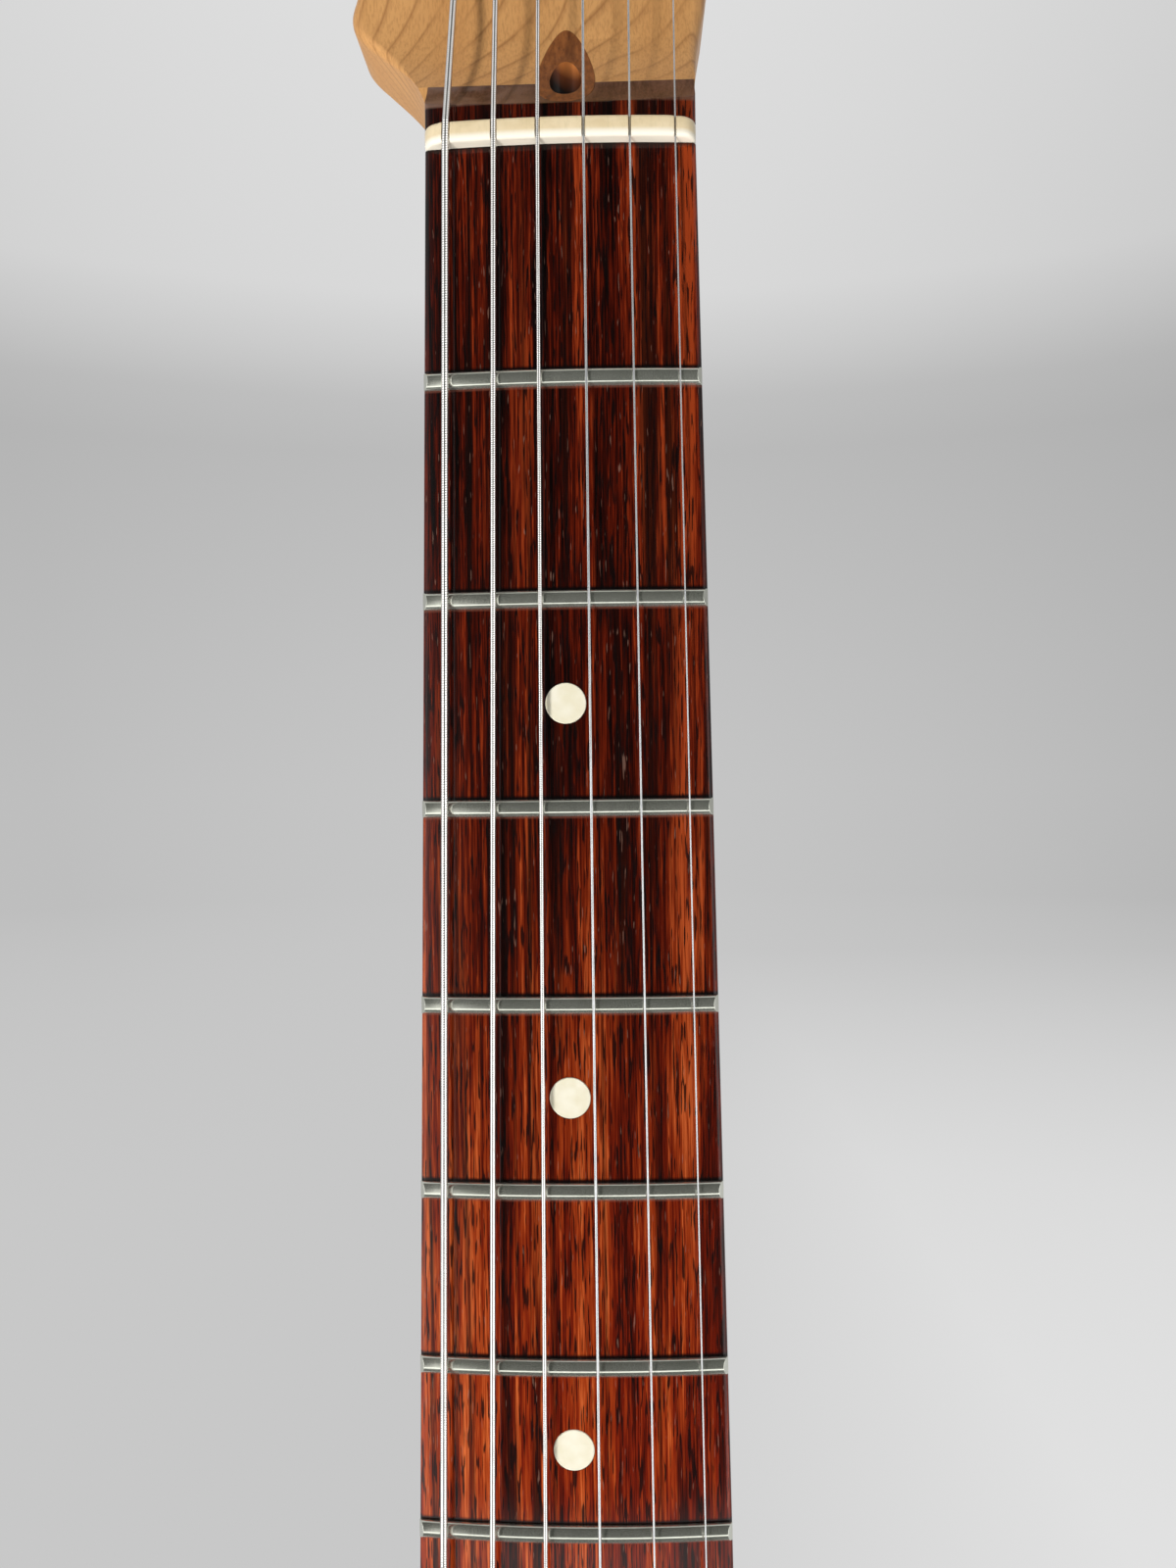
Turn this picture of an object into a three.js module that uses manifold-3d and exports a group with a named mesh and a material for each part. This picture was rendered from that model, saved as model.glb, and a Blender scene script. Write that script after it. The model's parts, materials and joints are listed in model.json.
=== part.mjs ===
// A strung electric guitar neck: maple neck, rosewood fingerboard, frets, inlays, truss rod,
// nut, six strings and a strip of six geared tuners.
// Millimetres. +Z runs up the neck to the headstock, the fingerboard faces -Y and +X is the
// treble side. The origin is on the flat back of the heel, midway between its screw holes.
// Most sizes are given from the nut datum: the crown of the fingerboard at the nut's lower face.
// A depth is measured from there towards the back, a height up the neck.

import * as THREE from "three";
import { mergeVertices } from "three/addons/utils/BufferGeometryUtils.js";
import Module from "manifold-3d";

// Fingerboard and scale
const scaleLength = 647.7;
const fretCount = 21;
const fretsPerOctave = 12;
const nutWidth = 42.4;
const heelWidth = 56.0;
const boardRadius = 241.3;
const boardThickness = 4.8;
const boardPastLastFret = 7.0;
const boardEdgeRoll = 0.8;
const boardFacets = 6;
const headBoardReach = 5.0;

// Frets and inlays
const fretWidth = 2.7;
const fretHeight = 1.1;
const fretEndBevel = THREE.MathUtils.degToRad(35);
const fretCrownFacets = 4;
const tangWidth = 0.5;
const tangDepth = 1.5;
const slotClearance = 0.05;
const seatGap = 0.03;
const inlayDiameter = 6.35;
const inlayDepth = 1.6;
const inlayGap = 0.05;
const singleInlays = [3, 5, 7, 9, 15, 17, 19, 21];
const doubleInlay = 12;
const doubleInlayOffset = 12.0;

// Nut
const nutThickness = 3.3;
const nutSlotDepth = 2.6;
const nutStand = 2.2;
const nutEndRound = 2.8;
const nutEdgeRound = 0.6;
const nutSlotClearance = 0.06;
const nutFit = 0.04;
const nutSlotFacets = 4;

// Strings, bass to treble: diameters, and places across the nut and the bridge
const stringDiameters = [1.17, 0.91, 0.66, 0.43, 0.33, 0.25];
const stringsAtNut = [-17.6, -10.1, -3.3, 3.8, 10.9, 17.9];
const stringsAtBridge = [-25.1, -17.4, -6.6, 4.1, 14.7, 24.4];
const stringOverBoardAtNut = 1.5;
const stringOverOctaveFret = 1.8;
const stringPastHeel = 11.0;
const stringSides = 5;
const ballDiameter = 3.8;
const ballWidth = 3.2;
const ballBore = 1.5;
const ballSides = 8;
const ballTwistLength = 9.0;
const ballTwistWall = 0.35;

// Neck shaft
const firstFretDepth = 21.0;
const octaveFretDepth = 23.0;
const shaftSide = 1.4;
const shaftFlat = 4.0;
const shaftRoundness = 2.3;
const glueLineEdge = 0.05;
const shaftReachShare = 0.9;
const frontEdgeShare = 1 / 3;

// Heel
const heelDepth = 25.4;
const heelFlatLength = 72.0;
const heelRampLength = 40.0;
const heelEdgeRound = 1.6;
const heelCornerRound = 3.2;
const heelScrewSpanX = 38.1;
const heelScrewSpanZ = 50.8;
const heelScrewToEnd = 12.7;
const heelScrewHole = 3.2;
const heelScrewHoleDepth = 16.0;

// Headstock
const faceDepth = 10.0;
const headThickness = 14.3;
const headEdgeRound = 2.0;
const sweepRadius = 33.0;
const sweepTop = 30.0;
const headBlendFrom = -14.0;
const headBlendTo = 15.0;
const flareStart = 6.0;
const shoulder = { x: -34.0, z: 30.6 };
const shoulderTurn = { x: -31.0, z: 21.6 };
const waist = { x: 23.3, z: 27.0 };
const trebleCheek = { x: 32.0, z: 140.0 };
const tip = { x: 21.5, z: 188.0 };
const bassEdgeEnd = 171.0;
const tipFacets = 9;
const tipSweep = THREE.MathUtils.degToRad(88.6);

// How the headstock's curves leave and reach their ends, as shares of each stretch's run and rise
const shoulderLeaveShares = { run: 0, rise: 0.45 };
const shoulderReachShares = { run: 0.58, rise: 0.74 };
const cornerLeaveShares = { run: 1, rise: 0.29 };
const cornerReachShares = { run: 1.62, rise: 0.55 };
const bassTipLeaveShares = { run: 0.22, rise: 0.6 };
const bassTipReachShares = { run: 0.55, rise: 1 };
const waistLeaveShares = { run: 0, rise: 0.4 };
const waistReachShares = { run: 0.45, rise: 0.7 };
const cheekLeaveShares = { run: 0.35, rise: 0.2 };
const cheekReachShares = { run: 1, rise: 0.6 };
const trebleTipLeaveShares = { run: 0, rise: 0.62 };
const trebleTipReachShares = { run: 0.35, rise: 1 };

// Truss rod
const rodDiameter = 4.76;
const rodTilt = THREE.MathUtils.degToRad(2);
const rodAxisX = 0.8;
const rodAxisDepth = 5.0;
const rodAxisHeight = 14.0;
const rodBow = 4.8;
const rodStraightEnd = -22.0;
const rodEnd = { z: -405.0, depth: 9.9 };
const rodClearance = 0.3;
const rodFacets = 8;
const accessHole = 5.0;
const plugDiameter = 9.4;
const plugBottom = -2.0;
const rodNut = { diameter: 6.8, height: 12.0, top: -3.0, socket: 4.0, socketDepth: 5.0 };
const rodNutBore = 7.4;
const rodNutRoom = 11.0;
const threadClearance = 0.1;
const channelWidth = 6.4;
const channelFrom = -21.0;
const channelTo = -408.0;
const rodCentringShare = 0.25;
const anchor = { diameter: 9.5, thickness: 9.0, z: -397.5, front: 5.2 };

// Sides of round rods and holes
const boreSides = 12;
const rodSides = 16;
const shaftSides = 8;
const hexSides = 6;

// Tuners
const tunerCount = stringDiameters.length;
const rowTilt = THREE.MathUtils.degToRad(16.5);
const rowPitch = 24.15;
const firstPost = { x: -19.4, z: 44.0 };
const postDiameter = 6.35;
const postWaist = 5.5;
const postTop = -1.6;
const postWaistFrom = 1.6;
const postWaistTo = 7.6;
const postTaper = 1.0;
const postSlotWidth = 1.3;
const postSlotDepth = 3.2;
const postFacets = 10;
const runningClearance = 0.08;
const plateThickness = 1.2;
const plateBassReach = 8.4;
const plateTrebleReach = 7.8;
const plateTailReach = 9.0;
const plateHeadReach = 15.5;
const plateCornerRound = 4.0;
const gearModule = 0.65;
const addendumShare = 0.92;
const dedendumShare = 1.15;
const wormAddendumShare = 0.9;
const gearTeeth = 14;
const gearWidth = 3.2;
const gearBacklash = 0.16;
const pressureAngle = THREE.MathUtils.degToRad(20);
const wormPitchDiameter = 4.6;
const wormShaft = 3.0;
const wormTurns = 3.0;
const wormSteps = 7;
const wormHalfLength = 4.1;
const wormOverPlate = 0.4;
const collarDiameter = 7.0;
const collarLift = 0.25;
const gearScrewDiameter = 4.6;
const gearScrewHeight = 1.1;
const earThickness = 1.2;
const earWidth = 6.4;
const earGap = 0.25;
const shaftTail = 0.7;
const buttonFrom = 13.0;
const buttonLength = 10.6;
const buttonWidth = 12.8;
const buttonThickness = 5.6;
const buttonRound = 1.6;
const stemDiameter = 4.4;
const stemLength = 3.6;

// String wraps on the posts
const wrapTop = 2.5;
const wrapClearance = 0.12;
const wrapSpacing = 0.45;
const wrapTurns = 2.25;
const wrapSteps = 10;

// String tree, over the two thinnest strings
const tree = { z: 62.0, width: 4.4, overhang: 2.3, thickness: 1.0, depthUnderWing: 4.3, hub: 4.2 };
const treeScrew = { shank: 2.2, head: 4.4, headHeight: 1.3, reach: 10.0, gap: 0.05 };
const treeWingDip = 1.0;

// How far a cutting solid runs past what it cuts
const overrun = 5.0;

const wasm = await Module();
wasm.setup();

// Places that follow from the sizes
const fretDistance = (fret) => scaleLength * (1 - 2 ** (-fret / fretsPerOctave));
const octaveDistance = fretDistance(fretsPerOctave);
const boardEnd = -(fretDistance(fretCount) + boardPastLastFret);
const nutHeight = -boardEnd - heelScrewToEnd - heelScrewSpanZ / 2;
const headBack = faceDepth + headThickness;
const plateBack = headBack + plateThickness + seatGap;
const gearPitchRadius = (gearModule * gearTeeth) / 2;
const wormLead = Math.PI * gearModule;
const wormTipRadius = wormPitchDiameter / 2 + gearModule * wormAddendumShare;
const gearCentres = gearPitchRadius + wormPitchDiameter / 2;
const wormDepth = plateBack + wormTipRadius + wormOverPlate;

const { lerp, smoothstep } = THREE.MathUtils;
const quarterTurn = Math.PI / 2;
const wholeTurn = Math.PI * 2;
const crownDrop = (x) => boardRadius - Math.sqrt(boardRadius ** 2 - x ** 2);

// Half the width of neck and fingerboard, tapering from the nut and rounded at the heel's corners
function halfWidthAt(z) {
  const taperShare = Math.max(-z, 0) / fretDistance(fretCount);
  const straight = lerp(nutWidth, heelWidth, taperShare) / 2;
  const intoCorner = Math.max(heelCornerRound - (z - boardEnd), 0);
  return straight - heelCornerRound + Math.sqrt(heelCornerRound ** 2 - intoCorner ** 2);
}

// Depth of the front face behind the nut: the shelf, the concave sweep and the flat headstock
function sweepDepth(z) {
  const below = Math.min(Math.max(sweepTop - z, 0), sweepRadius);
  return Math.max(faceDepth - sweepRadius + Math.sqrt(sweepRadius ** 2 - below ** 2), 0);
}

const sweepHeightAt = (depth) =>
  sweepTop - Math.sqrt(sweepRadius ** 2 - (sweepRadius - faceDepth + depth) ** 2);
const shelfEnd = sweepHeightAt(0);
const glueLineEnd = sweepHeightAt(boardThickness);

const spread = (from, to, count) =>
  Array.from({ length: count }, (_, i) => lerp(from, to, (i + 1) / count));
const sweepHeights = [shelfEnd, ...spread(shelfEnd, glueLineEnd, 4), ...spread(glueLineEnd, sweepTop, 7)];

// Solids from closed rings of points, all with the same number of points
function ringSolid(rings) {
  const count = rings[0].length;
  const points = rings.flat();
  const index = [];
  for (let r = 0; r + 1 < rings.length; r += 1) {
    for (let i = 0; i < count; i += 1) {
      const a = r * count + i;
      const b = r * count + ((i + 1) % count);
      index.push(a, b, b + count, a, b + count, a + count);
    }
  }
  const last = (rings.length - 1) * count;
  for (const corners of capTriangles(rings[0])) index.push(...corners.toReversed());
  for (const corners of capTriangles(rings.at(-1))) {
    index.push(...corners.map((corner) => corner + last));
  }
  const geometry = new THREE.BufferGeometry().setFromPoints(points);
  geometry.setIndex(index);
  return facingOut(geometry);
}

// Triangles that close a flat ring, wound as the ring is
function capTriangles(ring) {
  const normal = new THREE.Vector3();
  const area = new THREE.Vector3();
  ring.forEach((point, i) => normal.add(area.crossVectors(point, ring[(i + 1) % ring.length])));
  const sizes = [Math.abs(normal.x), Math.abs(normal.y), Math.abs(normal.z)];
  const dropped = sizes.indexOf(Math.max(...sizes));
  const [u, v] = ["x", "y", "z"].filter((_, axis) => axis !== dropped);
  const flat = ring.map((point) => new THREE.Vector2(point[u], point[v]));
  return THREE.ShapeUtils.triangulateShape(flat, []).map((corners) => corners.sort((a, b) => a - b));
}

function facingOut(geometry) {
  const { position } = geometry.attributes;
  const index = geometry.index.array;
  const [a, b, c] = [new THREE.Vector3(), new THREE.Vector3(), new THREE.Vector3()];
  let volume = 0;
  for (let i = 0; i < index.length; i += 3) {
    a.fromBufferAttribute(position, index[i]);
    b.fromBufferAttribute(position, index[i + 1]);
    c.fromBufferAttribute(position, index[i + 2]);
    volume += a.dot(b.cross(c));
  }
  if (volume < 0) index.reverse();
  return geometry;
}

function solidOf(geometry) {
  const bare = geometry.clone();
  bare.deleteAttribute("normal");
  bare.deleteAttribute("uv");
  const merged = mergeVertices(bare);
  const corners = merged.index.array;
  const kept = [];
  for (let i = 0; i < corners.length; i += 3) {
    const [a, b, c] = corners.slice(i, i + 3);
    if (a !== b && b !== c && c !== a) kept.push(a, b, c);
  }
  const vertProperties = new Float32Array(merged.attributes.position.array);
  const triVerts = new Uint32Array(kept);
  return new wasm.Manifold(new wasm.Mesh({ numProp: 3, vertProperties, triVerts }));
}

function geometryOf(solid) {
  const mesh = solid.getMesh();
  const geometry = new THREE.BufferGeometry();
  const corners = new THREE.BufferAttribute(new Float32Array(mesh.vertProperties), 3);
  geometry.setAttribute("position", corners);
  geometry.setIndex(new THREE.BufferAttribute(new Uint32Array(mesh.triVerts), 1));
  return geometry;
}

const joined = (solids) => solids.reduce((whole, solid) => whole.add(solid));
const without = (solid, cutters) => cutters.reduce((rest, cutter) => rest.subtract(cutter), solid);

// A prism across the neck whose outline is given as [height up the neck, depth] pairs
function crossPrism(outline, from, to) {
  return ringSolid([from, to].map((x) => outline.map(([z, depth]) => at(x, depth, z))));
}

// A cylinder through two points
function rodBetween(from, to, radius, sides) {
  const along = new THREE.Vector3().subVectors(to, from);
  const geometry = new THREE.CylinderGeometry(radius, radius, along.length(), sides);
  const turn = new THREE.Quaternion().setFromUnitVectors(
    new THREE.Vector3(0, 1, 0),
    along.clone().normalize(),
  );
  geometry.applyQuaternion(turn);
  const middle = from.clone().add(to).multiplyScalar(0.5);
  return geometry.translate(middle.x, middle.y, middle.z);
}

// A tube of constant radius through a list of points, without twist
function tubeThrough(points, radius, sides) {
  const heading = (i) =>
    new THREE.Vector3()
      .subVectors(points[Math.min(i + 1, points.length - 1)], points[Math.max(i - 1, 0)])
      .normalize();
  const across = new THREE.Vector3(1, 0, 0);
  const rings = points.map((point, i) => {
    const along = heading(i);
    across.addScaledVector(along, -across.dot(along)).normalize();
    const up = new THREE.Vector3().crossVectors(along, across);
    return Array.from({ length: sides }, (_, k) => {
      const angle = (wholeTurn * k) / sides;
      return point
        .clone()
        .addScaledVector(across, radius * Math.cos(angle))
        .addScaledVector(up, radius * Math.sin(angle));
    });
  });
  return ringSolid(rings);
}

const at = (x, depth, z) => new THREE.Vector3(x, depth, z);

// Outline of the headstock: x of its bass and treble edges by height
const outlineSteps = 240;

function planCurve(stretches) {
  const curve = new THREE.CurvePath();
  stretches.forEach((stretch) => curve.add(stretch));
  return curve.getSpacedPoints(outlineSteps);
}

// A curve between two places, led by shares of the run and rise between them
function ledCurve(from, to, leaving, reaching) {
  const lead = ({ run, rise }) => new THREE.Vector2(lerp(from.x, to.x, run), lerp(from.z, to.z, rise));
  const [start, end] = [from, to].map(({ x, z }) => new THREE.Vector2(x, z));
  return new THREE.CubicBezierCurve(start, lead(leaving), lead(reaching), end);
}

function edgeAt(edge, z) {
  const above = edge.findIndex((point) => point.y >= z);
  if (above <= 0) return above === 0 ? edge[0].x : edge.at(-1).x;
  const [low, high] = [edge[above - 1], edge[above]];
  return lerp(low.x, high.x, (z - low.y) / (high.y - low.y));
}

function bassEdge() {
  const start = { x: -nutWidth / 2, z: flareStart };
  const run = Math.tan(rowTilt) * (bassEdgeEnd - shoulder.z);
  const end = { x: shoulder.x + run, z: bassEdgeEnd };
  const straight = [shoulder, end].map(({ x, z }) => new THREE.Vector2(x, z));
  return planCurve([
    ledCurve(start, shoulderTurn, shoulderLeaveShares, shoulderReachShares),
    ledCurve(shoulderTurn, shoulder, cornerLeaveShares, cornerReachShares),
    new THREE.LineCurve(...straight),
    ledCurve(end, tip, bassTipLeaveShares, bassTipReachShares),
  ]);
}

function trebleEdge() {
  const start = { x: nutWidth / 2, z: flareStart };
  return planCurve([
    ledCurve(start, waist, waistLeaveShares, waistReachShares),
    ledCurve(waist, trebleCheek, cheekLeaveShares, cheekReachShares),
    ledCurve(trebleCheek, tip, trebleTipLeaveShares, trebleTipReachShares),
  ]);
}

// Neck blank, lofted through sections up its length
const bassPoints = bassEdge();
const treblePoints = trebleEdge();
const heelTop = boardEnd + heelFlatLength;
const rampTop = heelTop + heelRampLength;

function neckBackAt(z) {
  const perLength = (octaveFretDepth - firstFretDepth) / (octaveDistance - fretDistance(1));
  const shaft = firstFretDepth + perLength * (-z - fretDistance(1));
  const overHeel = lerp(heelDepth, shaft, smoothstep(z, heelTop, rampTop));
  const overHead = lerp(overHeel, headBack, smoothstep(z, headBlendFrom, sweepTop));
  const intoTip = Math.max(headEdgeRound - (tip.z - z), 0);
  return overHead - headEdgeRound + Math.sqrt(headEdgeRound ** 2 - intoTip ** 2);
}

function neckFrontAt(z) {
  const intoTip = Math.max(headEdgeRound - (tip.z - z), 0);
  const tipRound = headEdgeRound - Math.sqrt(headEdgeRound ** 2 - intoTip ** 2);
  return Math.max(sweepDepth(z), boardThickness) + tipRound;
}

function neckSection(z) {
  const left = z > flareStart ? edgeAt(bassPoints, z) : -halfWidthAt(z);
  const right = z > flareStart ? edgeAt(treblePoints, z) : halfWidthAt(z);
  const front = neckFrontAt(z);
  const back = neckBackAt(z);
  const headShare = smoothstep(z, headBlendFrom, headBlendTo);
  const blockShare = Math.max(1 - smoothstep(z, heelTop, rampTop), headShare);
  const blockRound = z > 0 ? headEdgeRound : heelEdgeRound;
  const edge = lerp(glueLineEdge, headEdgeRound, smoothstep(z, glueLineEnd, shoulderTurn.z));
  const frontEdge = Math.min(edge, (right - left) * frontEdgeShare);
  const halfWidth = (right - left) / 2;
  const wantedReach = lerp(halfWidth - shaftFlat / 2, blockRound, blockShare);
  const reach = Math.min(wantedReach, halfWidth * shaftReachShare);
  const side = lerp(shaftSide, back - front - blockRound - frontEdge, blockShare);
  const rise = back - front - frontEdge - side;
  const power = 2 / lerp(shaftRoundness, 2, blockShare);
  const frontCorner = { steps: 2, sizeX: frontEdge, sizeY: frontEdge, power: 1 };
  const backCorner = { steps: 5, sizeX: reach, sizeY: rise, power };
  return [
    ...sectionCorner(at(left + frontEdge, front + frontEdge, z), -1, -1, frontCorner),
    ...sectionCorner(at(right - frontEdge, front + frontEdge, z), 1, -1, frontCorner).reverse(),
    ...sectionCorner(at(right - reach, back - rise, z), 1, 1, backCorner),
    ...sectionCorner(at(left + reach, back - rise, z), -1, 1, backCorner).reverse(),
  ];
}

// A quarter of a superellipse about a centre, from its side to its top
function sectionCorner(centre, sideX, sideY, { steps, sizeX, sizeY, power }) {
  return Array.from({ length: steps + 1 }, (_, k) => {
    const angle = (k / steps) * quarterTurn;
    const x = centre.x + sideX * sizeX * Math.cos(angle) ** power;
    return at(x, centre.y + sideY * sizeY * Math.sin(angle) ** power, centre.z);
  });
}

function neckHeights() {
  const tipFrom = bassEdgeEnd - headEdgeRound;
  const tipRise = tip.z - tipFrom;
  const tipHeights = Array.from({ length: tipFacets }, (_, i) => {
    return tipFrom + tipRise * Math.sin(((i + 1) / tipFacets) * tipSweep);
  });
  return [
    boardEnd,
    ...spread(boardEnd, boardEnd + heelCornerRound, 4),
    ...spread(boardEnd + heelCornerRound, heelTop, 1),
    ...spread(heelTop, rampTop, 6),
    ...spread(rampTop, headBlendFrom, 3),
    ...spread(headBlendFrom, flareStart, 5),
    ...spread(flareStart, glueLineEnd, 3),
    ...spread(glueLineEnd, sweepTop, 7),
    ...spread(sweepTop, tipFrom, 6),
    ...tipHeights,
  ];
}

const neckBlank = () => solidOf(ringSolid(neckHeights().map(neckSection)));

// Truss rod line, its channel and its bores
const rodAxisDepthAt = (z) => rodAxisDepth + (rodAxisHeight - z) * Math.tan(rodTilt);
const onRodAxis = (z) => at(rodAxisX, rodAxisDepthAt(z), z);

function rodCentre(z) {
  if (z >= rodStraightEnd) return onRodAxis(z);
  const share = (rodStraightEnd - z) / (rodStraightEnd - rodEnd.z);
  const straight = lerp(rodAxisDepthAt(rodStraightEnd), rodEnd.depth, share);
  const x = lerp(rodAxisX, 0, Math.min(share / rodCentringShare, 1));
  return at(x, straight + rodBow * 4 * share * (1 - share), z);
}

const channelMiddle = (z) => rodCentre(z).y;

function channelCutter(width, behindRod, shrink) {
  const from = channelFrom - width / 2;
  const to = channelTo + width / 2 + shrink;
  const heights = [from, ...spread(from, to, 16)];
  const offset = rodDiameter / 2 + rodClearance;
  const near = heights.map((z) => [z, channelMiddle(z) + (behindRod ? offset : -offset)]);
  const back = heelDepth + overrun;
  const prism = solidOf(crossPrism([...near, [to, back], [from, back]], -width / 2, width / 2));
  const round = (z) => {
    const front = channelMiddle(z) + (behindRod ? offset : -offset);
    return solidOf(rodBetween(at(0, front, z), at(0, back, z), width / 2, rodSides));
  };
  return joined([prism, round(from), round(to)]);
}

const boreAlongRod = (from, to, diameter, sides) =>
  solidOf(rodBetween(onRodAxis(from), onRodAxis(to), diameter / 2, sides));
const plugBore = (diameter) => boreAlongRod(plugBottom, sweepTop + overrun / 2, diameter, rodSides);

function nutBore() {
  const bottom = rodNut.top - rodNut.height - rodNutRoom;
  return boreAlongRod(plugBottom + overrun / 2, bottom, rodNutBore, rodSides);
}

function anchorPocket(grow) {
  const from = at(0, boardThickness - overrun, anchor.z);
  const to = at(0, anchor.front + anchor.thickness + grow, anchor.z);
  return solidOf(rodBetween(from, to, anchor.diameter / 2 + grow, rodSides));
}

// Everything in front of the shelf, sweep and face of the headstock
function frontCutter() {
  const top = sweepTop + overrun;
  const swept = sweepHeights.map((z) => [z, sweepDepth(z)]);
  const outline = [...swept, [top, faceDepth], [top, -overrun], [shelfEnd, -overrun]];
  return solidOf(crossPrism(outline, -nutWidth, nutWidth));
}

// Post places in the headstock
const rowDirection = new THREE.Vector2(Math.sin(rowTilt), Math.cos(rowTilt));
const postAt = (index) => ({
  x: firstPost.x + rowDirection.x * rowPitch * index,
  z: firstPost.z + rowDirection.y * rowPitch * index,
});

// Radius across the corners of a bore whose flats clear a round shaft
const clearRadius = (diameter, clearance, sides) => (diameter / 2 + clearance) / Math.cos(Math.PI / sides);

function headBore({ x, z }, radius, depth) {
  const mouth = at(x, faceDepth - overrun, z);
  return solidOf(rodBetween(mouth, at(x, faceDepth + depth, z), radius, boreSides));
}

const treeX = (stringAt(4, tree.z).x + stringAt(5, tree.z).x) / 2;

function heelPilots() {
  const middle = boardEnd + heelScrewToEnd + heelScrewSpanZ / 2;
  const places = [-1, 1].flatMap((x) => [-1, 1].map((z) => [x, z]));
  return places.map(([sideX, sideZ]) => {
    const x = (sideX * heelScrewSpanX) / 2;
    const z = middle + (sideZ * heelScrewSpanZ) / 2;
    const [mouth, bottom] = [overrun, -heelScrewHoleDepth].map((depth) => at(x, heelDepth + depth, z));
    return solidOf(rodBetween(mouth, bottom, heelScrewHole / 2, boreSides));
  });
}

function neckSolid() {
  const postRadius = clearRadius(postDiameter, runningClearance, boreSides);
  const posts = stringDiameters.map((_, i) => headBore(postAt(i), postRadius, headThickness + overrun));
  const screwRadius = treeScrew.shank / 2 + runningClearance;
  return without(neckBlank(), [
    ...posts,
    ...heelPilots(),
    headBore({ x: treeX, z: tree.z }, screwRadius, treeScrew.reach),
    plugBore(plugDiameter + inlayGap * 2),
    nutBore(),
    channelCutter(channelWidth, false, 0),
    anchorPocket(rodClearance),
  ]);
}

function stripeSolid() {
  const strip = channelCutter(channelWidth - inlayGap * 2, true, inlayGap);
  return without(neckBlank().intersect(strip), [anchorPocket(rodClearance)]);
}

function plugSolid() {
  return without(plugBore(plugDiameter), [
    frontCutter(),
    nutSeat(),
    boreAlongRod(plugBottom - overrun, sweepTop + overrun, accessHole, rodSides),
  ]);
}

// The fingerboard's crown, in as many facets as the frets have
function crownShares() {
  return Array.from({ length: boardFacets + 1 }, (_, i) => (2 * i) / boardFacets - 1);
}

function boardSection(z) {
  const half = halfWidthAt(z);
  const flat = half - boardEdgeRoll;
  const crown = crownShares().map((share) => at(share * flat, crownDrop(share * flat), z));
  const rolled = (side) => {
    const low = crownDrop(flat);
    const middle = boardEdgeRoll * (1 - Math.SQRT1_2);
    return [
      at(side * (half - middle), low + middle, z),
      at(side * half, low + boardEdgeRoll, z),
      at(side * half, boardThickness, z),
    ];
  };
  return [...crown, ...rolled(1), ...rolled(-1).reverse()];
}

// A fret is a crown and tang swept over the board's crown, bevelled at both ends
function fretGeometry(fret) {
  const z = -fretDistance(fret);
  const half = halfWidthAt(z);
  const flat = half - boardEdgeRoll;
  const inner = crownShares().slice(1, -1).map((share) => share * flat);
  const crown = Array.from({ length: fretCrownFacets + 1 }, (_, i) => {
    const angle = (i / fretCrownFacets) * Math.PI;
    return [(fretWidth / 2) * Math.cos(angle), seatGap + (fretHeight - seatGap) * Math.sin(angle)];
  });
  const tang = [
    [-tangWidth / 2, seatGap],
    [-tangWidth / 2, -tangDepth],
    [tangWidth / 2, -tangDepth],
    [tangWidth / 2, seatGap],
  ];
  const rings = [-half, ...inner, half].map((x) => {
    const atEnd = Math.abs(x) === half;
    const drop = crownDrop(atEnd ? flat : x);
    const lean = atEnd ? Math.sign(x) * Math.tan(fretEndBevel) : 0;
    return [...crown, ...tang].map(([offset, rise]) =>
      at(x - lean * Math.max(rise, 0), drop - rise, z + offset),
    );
  });
  return ringSolid(rings);
}

// Slots are sawn square to the glue line, deep enough for the tang at the board's edges
function fretSlot(fret) {
  const z = -fretDistance(fret);
  const half = tangWidth / 2 + slotClearance;
  const bottom = crownDrop(halfWidthAt(z)) + tangDepth + slotClearance;
  const outline = [
    [z - half, -overrun],
    [z + half, -overrun],
    [z + half, bottom],
    [z - half, bottom],
  ];
  return solidOf(crossPrism(outline, -heelWidth, heelWidth));
}

const inlaySides = 14;
const inlayHeight = (fret) => -(fretDistance(fret) + fretDistance(fret - 1)) / 2;

function inlayGeometry(x, z, grow) {
  const tilt = Math.asin(x / boardRadius);
  const centre = at(0, boardRadius, z);
  const outward = at(Math.sin(tilt), -Math.cos(tilt), 0);
  const top = centre.clone().addScaledVector(outward, boardRadius + (grow > 0 ? overrun : 0));
  const bottom = centre.clone().addScaledVector(outward, boardRadius - inlayDepth - grow);
  return rodBetween(bottom, top, inlayDiameter / 2 + grow, inlaySides);
}

const inlays = [
  ...singleInlays.map((fret) => ({ name: `inlay_${String(fret).padStart(2, "0")}`, x: 0, fret })),
  { name: `inlay_${doubleInlay}_bass`, x: -doubleInlayOffset, fret: doubleInlay },
  { name: `inlay_${doubleInlay}_treble`, x: doubleInlayOffset, fret: doubleInlay },
];

const nutSeat = () =>
  solidOf(
    crossPrism(
      [
        [0, -overrun],
        [0, nutSlotDepth],
        [nutThickness, nutSlotDepth],
        [nutThickness, -overrun],
      ],
      -nutWidth,
      nutWidth,
    ),
  );

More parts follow.
